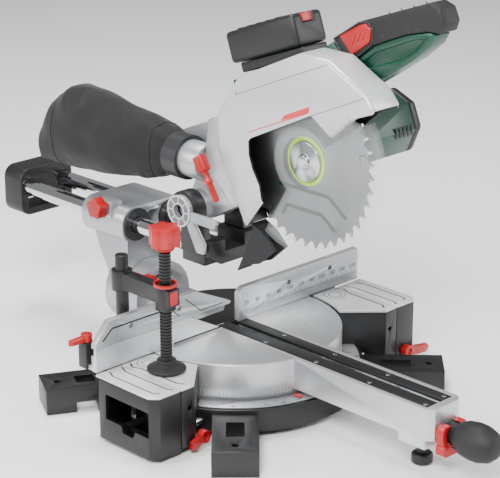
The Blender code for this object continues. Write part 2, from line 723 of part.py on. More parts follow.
def bevel_bracket():
    """The tilting half of the joint and the housing that the rails slide through."""
    disc = rod((0, TRUNNION_SPLIT + GAP, 0), (0, TRUNNION_BACK, 0), TRUNNION_R, sides=40)
    pin = rod((0, 110, 0), (0, TRUNNION_BACK, 0), 8)
    neck = plate("YZ", [[(TRUNNION_SPLIT + GAP, 0), (TRUNNION_SPLIT + GAP, 82), (HOUSING_BACK - 2, 86),
                         (224, 56), (TRUNNION_BACK + 6, 28), (TRUNNION_BACK, -6)]], -36, 36)
    r = RAIL_R + BUSH_WALL + HOUSING_WALL
    half = RAIL_X + r
    shell = plate("XZ", [rounded((-half, RAIL_Z - r), (half, RAIL_Z + r), 20, 6)], HOUSING_FRONT, HOUSING_BACK)
    boss = box((-half, 178, RAIL_Z + 8), (-34, 208, RAIL_Z + r + 5))
    bracket = join(disc, pin, neck, shell, boss)
    for side in (-1, 1):
        x = side * RAIL_X
        bracket = cut(bracket, rod((x, 100, RAIL_Z), (x, 300, RAIL_Z), RAIL_R + BUSH_WALL + GAP, sides=24))
    bracket = cut(bracket, box((-9, 100, RAIL_Z - 14), (9, 300, RAIL_Z + 14)))
    bracket = cut(bracket, rod((-half - 20, 193, RAIL_Z + 21), (-46, 193, RAIL_Z + 21), 5.3))
    keep(bracket, "bevel_bracket", "silver_cast", "bevel_bracket")
    for side, tag in ((-1, "left"), (1, "right")):
        x = side * RAIL_X
        bush = lathe([(RAIL_R + RUN, HOUSING_FRONT - 3), (RAIL_R + BUSH_WALL + 4, HOUSING_FRONT - 3),
                      (RAIL_R + BUSH_WALL + 4, HOUSING_FRONT - GAP), (RAIL_R + BUSH_WALL, HOUSING_FRONT - GAP),
                      (RAIL_R + BUSH_WALL, HOUSING_BACK), (RAIL_R + RUN, HOUSING_BACK),
                      (RAIL_R + RUN, HOUSING_FRONT - 3)], (x, 0, RAIL_Z), (0, 1, 0), steps=24)
        keep(bush, f"rail_bushing_{tag}", "black_plastic", "bevel_bracket")


def lobed_knob(start, end, r, lobes, depth, shank, shank_end):
    """A knob with finger lobes between two points, and the shank that it turns on."""
    start, end, shank_end = Vector(start), Vector(end), Vector(shank_end)
    height = (end - start).length
    outline = []
    for k in range(lobes * 6):
        a = 2 * math.pi * k / (lobes * 6)
        out = r - depth + depth * math.cos(lobes * a)
        outline.append((out * math.cos(a), out * math.sin(a)))
    knob = bevel(plate("XY", [outline], 0, height), 1.4)
    knob.data.transform(Matrix.Translation(start * MM) @ axis_frame(end - start))
    return join(knob, rod(start + (end - start) * 0.2, shank_end, shank))


def slide_lock_knob():
    half = RAIL_X + RAIL_R + BUSH_WALL + HOUSING_WALL
    z = RAIL_Z + 21
    knob = lobed_knob((-half - GAP - 2, 193, z), (-half - 17, 193, z), 14.5, 5, 1.6, 5, (-48, 193, z))
    keep(knob, "slide_lock_knob", "red_plastic", "slide_lock_knob")


def bevel_lever():
    """The red lever that clamps the tilt."""
    x, z, y = -29.6, 29.6, TRUNNION_FRONT - GAP
    hub = rod((x, y, z), (x, y - 12, z), 9)
    blade = plate("XZ", [[(x + 5, z - 6), (x - 6, z - 7), (-56, 36), (-60, 44), (-54, 49), (x - 4, z + 8)]],
                  y - 10, y - 2)
    keep(join(hub, blade), "bevel_lever", "red_plastic", "bevel_lever")


def rails():
    for side, tag in ((-1, "left"), (1, "right")):
        x = side * RAIL_X
        bar = lathe([(0, RAIL_FRONT), (RAIL_R, RAIL_FRONT), (RAIL_R, RAIL_BACK), (0, RAIL_BACK),
                     (0, RAIL_FRONT)], (x, 0, RAIL_Z), (0, 1, 0), steps=24)
        keep(bar, f"rail_{tag}", "chrome", "rails")
    cap = plate("XZ", [rounded((-45, 62), (45, 129), 16, 6)], 380, 418)
    cap = cut(cap, box((-33, 370, 72), (33, 425, 88)))
    cap = bevel(cap, 3.0)
    for side in (-1, 1):
        x = side * RAIL_X
        cap = cut(cap, rod((x, 370, RAIL_Z), (x, RAIL_BACK + GAP, RAIL_Z), RAIL_R + GAP, sides=24))
    keep(cap, "rear_cap", "black_plastic", "rails")


def carrier():
    """The black fork on the rails' front ends that the head pivots in."""
    block = box((-44, 0, 86), (44, 50, 118))
    for side in (-1, 1):
        low, high = sorted((side * (HUB_HALF + RUN), side * (HUB_HALF + RUN + LUG_THICK)))
        lug = plate("YZ", [[(8, 100), (PIVOT_Y - 24, PIVOT_Z - 10)] + arc((PIVOT_Y, PIVOT_Z), 24, 180, 0, 16)
                           + [(PIVOT_Y + 24, PIVOT_Z - 10), (50, 128), (50, 100)]], low, high)
        block = join(block, lug)
    block = cut(block, box((-17, -5, 102), (17, 60, 130)))
    for side in (-1, 1):
        corner = plate("XZ", [[(60, 70), (24, 70), (24, 86.5), (30, 90), (43, 98.5), (60, 98.5)]], -5, 9.2)
        block = cut(block, sided(corner, side))
    for side in (-1, 1):
        x = side * RAIL_X
        block = cut(block, rod((x, RAIL_FRONT - GAP, RAIL_Z), (x, 60, RAIL_Z), RAIL_R + GAP, sides=24))
    block = cut(block, rod((-60, PIVOT_Y, PIVOT_Z), (60, PIVOT_Y, PIVOT_Z), 8 + RUN))
    keep(block, "carrier", "black_paint", "rails")


def depth_stop_plate():
    """The ribbed swing-in stop on the carrier's left side."""
    x = -(HUB_HALF + RUN + LUG_THICK)
    y, z = PIVOT_Y, PIVOT_Z
    ring = [circle((y, z), 20, 24), circle((y, z), 9.2, 24)]
    stop = plate("YZ", ring, x - 8, x - RUN)
    leg = [(y - 19, z - 3), (y - 10, z - 12), (y - 30, z - 48), (y - 42, z - 48), (y - 44, z - 36)]
    leg = plate("YZ", [leg], x - 6, x - RUN - 0.4)
    finger = [(y - 17, z + 2), (y - 62, z + 2), (y - 66, z - 3), (y - 62, z - 10), (y - 15, z - 10)]
    finger = plate("YZ", [finger], x - 7, x - RUN - 0.8)
    stop = join(stop, leg, finger)
    keep(stop, "depth_stop_plate", "silver_cast", "depth_stop")


# ---- head ----

GUARD_OUTER = [(-44.6, 145.4), (-2, 225), (3, 242), (5, 281), (-31, 334.5), (-134, 381), (-180, 381),
               (-237, 352), (-251, 336)]


def upper_guard():
    """The silver guard over the top of the blade: two walls and a rim, open below."""
    lower_edge = [(-252, 331), (-226, 321), (-188, 290), (-166, 226), (-140, 212), (-100, 208), (-78, 189)]
    guard = plate("YZ", [GUARD_OUTER + lower_edge], GUARD_LEFT, GUARD_RIGHT)
    guard = bevel(guard, 5.0, segments=3, angle=60)
    hollow = [(-48, 139), (-5.4, 225.5), (-0.2, 242.5), (1.8, 280), (-33, 331.7), (-134.7, 377.7),
              (-179.3, 377.7), (-235, 349.2), (-247, 335.5), (-300, 315), (-300, 120), (-60, 120)]
    guard = cut(guard, plate("YZ", [hollow], GUARD_LEFT + GUARD_WALL, GUARD_RIGHT - GUARD_WALL))
    window = [(-74, 186), (-70, 206), (-58, 225), (-52, 241), (-51, 258), (-55, 263), (-155, 311),
              (-188, 290), (-230, 250), (-200, 180), (-120, 150)]
    guard = cut(guard, plate("YZ", [window], GUARD_LEFT - 5, GUARD_LEFT + GUARD_WALL + 2))
    ring = lathe([(9, 12.6), (21, 12.6), (21, GUARD_RIGHT - 1), (9, GUARD_RIGHT - 1), (9, 12.6)],
                 (0, BLADE_Y, BLADE_Z), (1, 0, 0), steps=24)
    guard = join(guard, ring)
    guard = cut(guard, rod((5, BLADE_Y, BLADE_Z), (40, BLADE_Y, BLADE_Z), 9, sides=24))
    keep(guard, "upper_guard", "silver_paint", "head")


def head_arm():
    """The silver arm between the pivot and the guard."""
    hub = rod((-HUB_HALF, PIVOT_Y, PIVOT_Z), (HUB_HALF, PIVOT_Y, PIVOT_Z), HUB_R, sides=24)
    pin_end = HUB_HALF + RUN + LUG_THICK - 1
    pin = rod((-pin_end, PIVOT_Y, PIVOT_Z), (pin_end, PIVOT_Y, PIVOT_Z), 8)
    arm = plate("YZ", [[(-29.2, 171), (-0.9, 224.5), (4.0, 241.5), (5.9, 276), (30, 268), (36, 224), (64, 165),
                        (62, 148), (34, 136)]], -16, 16)
    shoulder = plate("YZ", [[(30, 264), (75, 248), (116, 230), (104, 213), (72, 219), (36, 232),
                             (26, 232), (20, 262)]], 14, 40)
    shoulder = cut(shoulder, rod((-10, 60, 208), (-10, 150, 208), 30.0))
    arm = join(hub, pin, arm, shoulder)
    keep(arm, "head_arm", "silver_cast", "head")


def motor():
    """The green eight-sided motor beside the guard, its gear case and its black end cap."""
    case = arc((BLADE_Y, BLADE_Z), 34, 150, 390, 24) + arc((MOTOR_Y, MOTOR_Z), MOTOR_R + 2, 20, 175, 16)
    case = plate("YZ", [case], GUARD_RIGHT + GAP, 46)
    barrel = lathe([(0, 44), (MOTOR_R, 44), (MOTOR_R, MOTOR_END - 18), (0, MOTOR_END - 18), (0, 44)],
                   (0, MOTOR_Y, MOTOR_Z), (1, 0, 0), steps=8)
    bridge = [(-156, 300), (-150, 318), (-96, 352), (24, 312), (18, 290), (-60, 262), (-100, 240)]
    bridge = plate("YZ", [bridge], GUARD_RIGHT + GAP, 86)
    motor_ = join(case, barrel, bridge)
    motor_ = cut(motor_, rod((0, BLADE_Y, BLADE_Z), (32, BLADE_Y, BLADE_Z), 8.6, sides=24))
    keep(motor_, "motor_housing", "green_plastic", "head")
    end = MOTOR_END
    cap = lathe([(0, end - 18 + GAP), (MOTOR_R, end - 18 + GAP), (MOTOR_R, end - 8), (MOTOR_R - 5, end - 1),
                 (MOTOR_R - 12, end), (0, end), (0, end - 18 + GAP)], (0, MOTOR_Y, MOTOR_Z), (1, 0, 0), steps=8)
    keep(cap, "motor_cap", "black_plastic", "head")


GRIP_UNDER = [(-289, 424), (-255, 415), (-235, 407), (-208, 395), (-186, 378), (-170, 368), (-162, 369)]
LOCK_PAD = [(-155, 398), (-186, 416), (-196, 419), (-204, 413), (-202, 398), (-178, 380), (-172, 381)]


def handle():
    """The green handle with its finger pocket, and the black grip that sits on it."""
    seam = [(y, z - 0.5) for y, z in GRIP_UNDER]
    outline = seam + [(-142.3, 388.6), (-110, 366), (-96, 352.5), (-150, 318.6), (-165, 326), (-199, 344),
                      (-229, 363), (-266, 388), (-290, 408), (-297, 421)]
    green = plate("YZ", [outline], HANDLE_LEFT, HANDLE_RIGHT)
    pocket = [(-172, 357), (-188, 371), (-208, 387), (-237, 399.5), (-265, 411), (-281, 414.5), (-266, 396),
              (-247, 384), (-201, 367)]
    green = cut(green, plate("YZ", [pocket], HANDLE_LEFT + 7, HANDLE_RIGHT + 5))
    green = cut(green, plate("YZ", [pocket], HANDLE_LEFT - 5, HANDLE_LEFT + 3))
    slot = [(-174, 350), (-174, 380), (-216, 410), (-216, 386)]
    green = cut(green, plate("YZ", [slot], TRIGGER_X[0] - RUN, TRIGGER_X[1] + RUN))
    keep(green, "handle", "green_plastic", "head")
    cover = plate("YZ", [GRIP_UNDER + [(-142, 391), (-186, 420), (-234, 437), (-288, 457), (-303, 452),
                                       (-310, 437), (-306, 424)]], HANDLE_LEFT - 2, HANDLE_RIGHT + 2)
    cover = bevel(cover, 5.0, segments=2, angle=60)
    seat = pad_outline(RUN)
    cover = cut(cover, plate("YZ", [seat], HANDLE_LEFT - 10, HANDLE_LEFT + 4))
    keep(cover, "handle_grip", "black_rubber", "head")


def pad_outline(grow):
    """The lock-off pad's outline, grown from its middle."""
    y, z = -182.0, 400.0
    out = []
    for u, v in LOCK_PAD:
        d = math.hypot(u - y, v - z)
        out.append((y + (u - y) * (d + grow) / d, z + (v - z) * (d + grow) / d))
    return out


def trigger():
    """The finger trigger in the pocket, and the lock-off pad for the thumb on the left face."""
    lever = plate("YZ", [[(-178, 358.5), (-178, 365), (-190, 376), (-213, 392), (-215, 386), (-200, 373.5),
                          (-186, 361)]], *TRIGGER_X)
    keep(lever, "trigger", "red_plastic", "trigger")
    pad = bevel(plate("YZ", [pad_outline(0)], HANDLE_LEFT - 4, HANDLE_LEFT + 2.5), 1.2)
    keep(pad, "lock_off_pad", "red_plastic", "lock_off_pad")


BATTERY_TILT = -20.0
BATTERY_AT = (-20.0, 332.0)


def battery():
    """The battery pack on its shoe, both sloping down to the rear, with a release button."""
    y, z = BATTERY_AT
    shoe = box((40, y - 64, z + 2), (84, y + 50, z + 15))
    shoe = turn(shoe, (0, y, z), BATTERY_TILT, (1, 0, 0))
    keep(bevel(shoe, 1.5), "battery_base", "black_plastic", "head")
    pack = box((36, y - 62, z + 15.4), (90, y + 62, z + 56))
    pack = bevel(pack, 6.0, segments=3)
    pack = cut(pack, box((54, y - 70, z + 44), (72, y - 52, z + 64)))
    pack = turn(pack, (0, y, z), BATTERY_TILT, (1, 0, 0))
    keep(pack, "battery_pack", "black_plastic", "battery_pack")
    button = box((54.6, y - 61, z + 44.6), (71.4, y - 55.6, z + 55))
    button = turn(button, (0, y, z), BATTERY_TILT, (1, 0, 0))
    keep(button, "battery_button", "red_plastic", "battery_button")


def dust_port():
    """The pipe that throws the dust back into the bag."""
    pipe = lathe([(20, 37), (24, 37), (24, 88), (20, 88), (20, 37)], (-10, 0, 208), (0, 1, 0), steps=24)
    plug = rod((-10, 37.5, 208), (-10, 44, 208), 21, sides=24)
    pipe = join(pipe, plug)
    pipe = cut(pipe, plate("YZ", [[(-29, 150), (-0.9, 224.5), (4.0, 241.5), (30, 268), (36, 224), (64, 165),
                                   (62, 148)]], -16.4, 16.4))
    keep(pipe, "dust_port", "silver_cast", "head")


def deflector():
    """The rubber chute behind the blade."""
    flap = plate("YZ", [[(-44.4, 149.5), (-48.6, 141.0), (-19, 80), (-30, 91), (-57, 99), (-84, 123),
                         (-66, 139.5), (-58, 144)]], -15, 10)
    flap = cut(flap, box((-10, -100, 60), (5, -52, 200)))
    keep(flap, "deflector", "black_rubber", "head")


def depth_screw():
    """The red-headed screw that sets the depth of cut."""
    foot_, top = Vector((-42, -11, 176)), Vector((-42, 18, 222))
    along = (top - foot_).normalized()
    bar = rod(foot_, top, 4)
    knob = lobed_knob(top - along * 14, top + along * 6, 9, 6, 0.8, 5, top - along * 16)
    nut = rod(foot_ + along * 24, foot_ + along * 30, 5.5, sides=6)
    keep(join(bar, knob, nut), "depth_screw", "red_plastic", "depth_screw")


def lower_guard():
    """The clear guard that rolls up inside the upper one as the head comes down."""
    start, stop = 146.0, 301.0
    centre = (BLADE_Y, BLADE_Z)
    r, wall, half = LOWER_GUARD_R, LOWER_GUARD_WALL, LOWER_GUARD_HALF
    outline = arc(centre, r, start, stop, 28) + arc(centre, 44, stop, start + 360, 16)
    guard = plate("YZ", [outline], -half, half)
    guard = cut(guard, plate("YZ", [circle(centre, r - wall, 64)], -half + wall, half - wall))
    guard = cut(guard, rod((-20, *centre), (0, *centre), 31, sides=24))
    guard = cut(guard, rod((0, *centre), (20, *centre), 22, sides=24))
    keep(guard, "lower_guard", "clear_plastic", "lower_guard")


def blade():
    outline = []
    for k in range(TEETH):
        a = 360 / TEETH * k
        for turn_, r in ((0, BLADE_R), (2.2, BLADE_R - 6.5), (6.2, BLADE_R - 6)):
            angle = math.radians(a + turn_)
            outline.append((BLADE_Y + r * math.cos(angle), BLADE_Z + r * math.sin(angle)))
    disc = plate("YZ", [outline, circle((BLADE_Y, BLADE_Z), 8.3, 32)], -BLADE_THICK / 2, BLADE_THICK / 2)
    keep(disc, "blade", "steel", "blade")
    half = BLADE_THICK / 2 + GAP
    collar = lathe([(0, -8.5), (9, -8.5), (9, -5), (25, -5), (25, -half), (8, -half), (8, half), (18, half),
                    (18, 12), (8, 12), (8, 30), (0, 30), (0, -8.5)], (0, BLADE_Y, BLADE_Z), (1, 0, 0), steps=24)
    keep(collar, "blade_flange", "machined", "blade")


def dust_bag():
    """The cloth bag behind the head and the ring that holds it on the pipe."""
    ring = lathe([(24.4, 70), (29, 70), (29, 96), (24.4, 96), (24.4, 70)], (-10, 0, 208), (0, 1, 0), steps=24)
    keep(ring, "bag_collar", "black_plastic", "dust_bag")
    side = [(97, 184), (128, 158), (374, 140), (368, 152), (350, 198), (333, 229), (305, 272), (100, 244),
            (97, 232)]
    bag = plate("YZ", [side], -36, 30)
    bag = cut(bag, box((13, 90, 150), (40, 118.5, 250)))
    bag = bevel(bag, 9.0, segments=2, angle=50)
    keep(bag, "dust_bag", "bag_cloth", "dust_bag")


# ---- assembly ----

def make_pivots():
    pivot("fence_slide", (-120, 4, 45))
    pivot("fence_lock", (*FENCE_LOCK_AT, 38))
    pivot("extension_left", (-EXT_END, -57, -40))
    pivot("extension_lever_left", (-160.5, WING_FRONT, -68))
    pivot("extension_right", (EXT_END, -57, -40))
    pivot("extension_lever_right", (209, WING_FRONT, -66), "extension_right")
    pivot("clamp_post", (CLAMP_X, POST_Y, 60))
    pivot("clamp_arm", (CLAMP_X, POST_Y, 97), "clamp_post")
    pivot("clamp_pad", (CLAMP_X, SPINDLE_Y, 0), "clamp_arm")
    pivot("clamp_spindle", (CLAMP_X, SPINDLE_Y, 90), "clamp_pad")
    pivot("turntable", (0, 0, 0))
    pivot("mitre_grip", (0, -390, -32), "turntable")
    pivot("detent_lever", (0, -ARM_REACH - 1, -20), "turntable")
    pivot("front_foot", (0, -317, -78), "turntable")
    pivot("bevel_lever", (-29.6, TRUNNION_FRONT - 6, 29.6), "turntable")
    pivot("bevel_bracket", (0, TRUNNION_SPLIT, 0), "turntable")
    pivot("slide_lock_knob", (-62, 193, RAIL_Z + 21), "bevel_bracket")
    pivot("rails", (0, 200, RAIL_Z), "bevel_bracket")
    pivot("depth_stop", (-50, PIVOT_Y, PIVOT_Z), "rails")
    pivot("head", (0, PIVOT_Y, PIVOT_Z), "rails")
    pivot("depth_screw", (-42, 3.5, 199), "head")
    pivot("trigger", (38, -179, 362), "head")
    pivot("lock_off_pad", (HANDLE_LEFT, -182, 400), "head")
    pivot("battery_pack", (62, *BATTERY_AT), "head")
    pivot("battery_button", (62, *BATTERY_AT), "battery_pack")
    pivot("lower_guard", (0, BLADE_Y, BLADE_Z), "head")
    pivot("blade", (0, BLADE_Y, BLADE_Z), "head")
    pivot("dust_bag", (-10, 83, 208), "head")


def stand_on_floor():
    """Move the saw so that its bounding box stands centred on the floor."""
    bpy.context.view_layer.update()
    points = [obj.matrix_world @ v.co for obj in PARTS.values() for v in obj.data.vertices]
    low = [min(p[k] for p in points) for k in range(3)]
    high = [max(p[k] for p in points) for k in range(3)]
    shift = Vector((-(low[0] + high[0]) / 2, -(low[1] + high[1]) / 2, -low[2]))
    for obj in SAW.objects:
        if obj.parent is None and obj.type == "MESH":
            obj.data.transform(Matrix.Translation(shift))
        elif obj.parent is None:
            obj.location += shift
    bpy.context.view_layer.update()
    print("moved by", [round(v / MM, 3) for v in shift])


def build():
    make_pivots()
    base_casting()
    table_plate(-1)
    table_plate(1)
    mitre_scale()
    fence_left_lower()
    fence_left_upper()
    fence_right()
    fence_lock()
    extension(-1)
    extension(1)
    extension_lever("left", (-160.5, -68), 207, 24)
    extension_lever("right", (209, -66), -8, 42)
    clamp()
    turntable()
    kerf_inserts()
    rear_bracket()
    mitre_pointer()
    mitre_grip()
    detent_lever()
    front_foot()
    bevel_bracket()
    slide_lock_knob()
    bevel_lever()
    rails()
    carrier()
    depth_stop_plate()
    upper_guard()
    head_arm()
    motor()
    handle()
    trigger()
    battery()
    dust_port()
    deflector()
    depth_screw()
    lower_guard()
    blade()
    dust_bag()


clear_scene()
SAW = new_collection(COLLECTION)
WORK = new_collection("workshop")
build()
bpy.data.collections.remove(WORK)
stand_on_floor()
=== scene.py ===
import json
import math

import bmesh
import bpy
from mathutils import Matrix, Vector, noise
from mathutils.bvhtree import BVHTree


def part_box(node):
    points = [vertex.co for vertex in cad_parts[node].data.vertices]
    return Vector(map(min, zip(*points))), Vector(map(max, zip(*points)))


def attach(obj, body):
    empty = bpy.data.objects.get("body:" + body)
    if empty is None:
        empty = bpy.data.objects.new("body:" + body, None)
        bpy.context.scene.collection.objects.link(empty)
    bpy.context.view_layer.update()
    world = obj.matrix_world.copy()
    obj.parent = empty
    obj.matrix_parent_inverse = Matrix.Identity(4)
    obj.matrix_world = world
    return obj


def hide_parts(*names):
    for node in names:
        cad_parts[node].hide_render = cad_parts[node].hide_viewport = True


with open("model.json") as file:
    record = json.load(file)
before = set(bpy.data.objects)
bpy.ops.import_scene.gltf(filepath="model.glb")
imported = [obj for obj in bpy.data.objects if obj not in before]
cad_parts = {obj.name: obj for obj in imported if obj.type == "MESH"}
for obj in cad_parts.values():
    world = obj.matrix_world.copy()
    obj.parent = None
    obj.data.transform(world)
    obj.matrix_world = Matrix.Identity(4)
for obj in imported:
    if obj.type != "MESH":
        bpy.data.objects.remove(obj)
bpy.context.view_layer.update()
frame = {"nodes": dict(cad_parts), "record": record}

MM = 0.001
ARM_REACH = 352.0                  # swivel axis to the front of the turntable's arm
BLADE_YZ = (-124.0, 243.6)         # blade's axis
PIVOT_YZ = (45.0, 153.0)           # chop pivot
CLAMP_XY = (-165.0, -52.0)         # clamp spindle
BATTERY_YZ = (-20.0, 332.0)        # middle of the battery shoe's underside
GUARD_FACE = -27.0                 # left face of the upper guard
TEETH = 40

low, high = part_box("turntable")
SWIVEL = Vector(((low.x + high.x) / 2, low.y + ARM_REACH * MM, high.z))   # at the table's surface


def at(x, y, z):
    """A point given in millimetres from the swivel axis at the table's surface."""
    return SWIVEL + Vector((x, y, z)) * MM


# ---- materials ----

def linear(colour):
    """A colour written in hex as linear light."""
    out = []
    for k in (0, 2, 4):
        c = int(colour[k:k + 2], 16) / 255
        out.append(c / 12.92 if c <= 0.04045 else ((c + 0.055) / 1.055) ** 2.4)
    return (*out, 1.0)


def add(tree, kind, inputs, **settings):
    """Add a node with its settings, its values and the sockets that feed it."""
    node = tree.nodes.new(kind)
    for key, value in settings.items():
        setattr(node, key, value)
    for socket, value in inputs.items():
        if isinstance(value, bpy.types.NodeSocket):
            tree.links.new(value, node.inputs[socket])
        else:
            node.inputs[socket].default_value = value
    return node


def shader_of(name, roughness, metallic, **sockets):
    """A new material with its tree and its shader."""
    made = bpy.data.materials.new(name)
    made.use_nodes = True
    shader = made.node_tree.nodes["Principled BSDF"]
    shader.inputs["Roughness"].default_value = roughness
    shader.inputs["Metallic"].default_value = metallic
    for key, value in sockets.items():
        shader.inputs[key.replace("_", " ")].default_value = value
    return made, made.node_tree, shader


def grained(name, colour, dark, roughness, grain, depth, metallic=0.0, stretch=(1, 1, 1), cloud=40.0,
            spread=0.07, worn=None, **sockets):
    """A finish with fine grain in millimetres, slow shifts of tone and gloss, and paler worn edges."""
    made, tree, shader = shader_of(name, roughness, metallic, **sockets)
    place = add(tree, "ShaderNodeTexCoord", {}).outputs["Object"]
    lay = add(tree, "ShaderNodeMapping", {"Vector": place, "Scale": stretch}).outputs["Vector"]
    fine = add(tree, "ShaderNodeTexNoise", {"Vector": lay, "Scale": 1000 / grain, "Detail": 3.0})
    slow = add(tree, "ShaderNodeTexNoise", {"Vector": place, "Scale": 1000 / cloud, "Detail": 4.0})
    tone = add(tree, "ShaderNodeMixRGB", {"Fac": slow.outputs["Fac"], "Color1": linear(dark),
                                          "Color2": linear(colour)})
    tint = tone.outputs["Color"]
    if worn:
        edge = add(tree, "ShaderNodeNewGeometry", {}).outputs["Pointiness"]
        mask = add(tree, "ShaderNodeMapRange", {"Value": edge, "From Min": 0.52, "From Max": 0.62})
        tint = add(tree, "ShaderNodeMixRGB", {"Fac": mask.outputs["Result"], "Color1": tint,
                                              "Color2": linear(worn)}).outputs["Color"]
    tree.links.new(tint, shader.inputs["Base Color"])
    gloss = add(tree, "ShaderNodeMapRange", {"Value": fine.outputs["Fac"], "From Min": 0.3, "From Max": 0.7,
                                             "To Min": roughness - spread, "To Max": roughness + spread})
    tree.links.new(gloss.outputs["Result"], shader.inputs["Roughness"])
    bump = add(tree, "ShaderNodeBump",
               {"Height": fine.outputs["Fac"], "Strength": 0.6, "Distance": depth * MM})
    tree.links.new(bump.outputs["Normal"], shader.inputs["Normal"])
    return made


def woven_polyester():
    """Woven polyester: threads cross every 1.6 mm, drawn coarser than the real 0.5 mm so that they show."""
    made, tree, shader = shader_of("black_polyester_woven", 0.85, 0.0, Sheen_Weight=0.12,
                                   Sheen_Roughness=0.45)
    place = add(tree, "ShaderNodeTexCoord", {}).outputs["Object"]
    waves = 1000 / 1.6 / math.tau
    warp = add(tree, "ShaderNodeTexWave", {"Vector": place, "Scale": waves, "Distortion": 0.6},
               bands_direction="Y")
    weft = add(tree, "ShaderNodeTexWave", {"Vector": place, "Scale": waves, "Distortion": 0.6},
               bands_direction="Z")
    cross = add(tree, "ShaderNodeMath", {0: warp.outputs["Fac"], 1: weft.outputs["Fac"]},
                operation="MULTIPLY")
    slow = add(tree, "ShaderNodeTexNoise", {"Vector": place, "Scale": 30.0, "Detail": 4.0})
    tone = add(tree, "ShaderNodeMixRGB", {"Fac": slow.outputs["Fac"], "Color1": linear("050506"),
                                          "Color2": linear("0f1012")})
    tree.links.new(tone.outputs["Color"], shader.inputs["Base Color"])
    bump = add(tree, "ShaderNodeBump",
               {"Height": cross.outputs["Value"], "Strength": 0.5, "Distance": 0.0003})
    tree.links.new(bump.outputs["Normal"], shader.inputs["Normal"])
    return made


def ground_saw_steel():
    """Hardened steel ground round its centre: fine rings that spread each highlight into a spoke."""
    made, tree, shader = shader_of("saw_steel_ground", 0.3, 1.0, Anisotropic=0.6)
    place = add(tree, "ShaderNodeTexCoord", {}).outputs["Object"]
    lay = add(tree, "ShaderNodeMapping", {"Vector": place, "Location": tuple(-BLADE_CENTRE)})
    apart = add(tree, "ShaderNodeVectorMath", {0: lay.outputs["Vector"], 1: (0.0, 1.0, 1.0)},
                operation="MULTIPLY")
    radius = add(tree, "ShaderNodeVectorMath", {0: apart.outputs["Vector"]}, operation="LENGTH")
    rings = add(tree, "ShaderNodeTexNoise", {"W": radius.outputs["Value"], "Scale": 1400.0, "Detail": 2.0},
                noise_dimensions="1D")
    slow = add(tree, "ShaderNodeTexNoise", {"Vector": place, "Scale": 25.0})
    tone = add(tree, "ShaderNodeMixRGB", {"Fac": slow.outputs["Fac"], "Color1": linear("707274"),
                                          "Color2": linear("989a9c")})
    tree.links.new(tone.outputs["Color"], shader.inputs["Base Color"])
    gloss = add(tree, "ShaderNodeMapRange", {"Value": rings.outputs["Fac"], "To Min": 0.24, "To Max": 0.42})
    tree.links.new(gloss.outputs["Result"], shader.inputs["Roughness"])
    bump = add(tree, "ShaderNodeBump",
               {"Height": rings.outputs["Fac"], "Strength": 0.25, "Distance": 0.00005})
    tree.links.new(bump.outputs["Normal"], shader.inputs["Normal"])
    return made


def clear_polycarbonate():
    """Moulded polycarbonate: clear, with faint scuffs that whiten it."""
    made, tree, shader = shader_of("polycarbonate_moulded_clear", 0.06, 0.0, IOR=1.2, Alpha=0.08)
    place = add(tree, "ShaderNodeTexCoord", {}).outputs["Object"]
    scuff = add(tree, "ShaderNodeTexNoise", {"Vector": place, "Scale": 90.0, "Detail": 6.0})
    gloss = add(tree, "ShaderNodeMapRange", {"Value": scuff.outputs["Fac"], "From Min": 0.45, "From Max": 0.7,
                                             "To Min": 0.04, "To Max": 0.22})
    tree.links.new(gloss.outputs["Result"], shader.inputs["Roughness"])
    shader.inputs["Base Color"].default_value = linear("e6eaec")
    return made


BLADE_CENTRE = at(0, *BLADE_YZ)

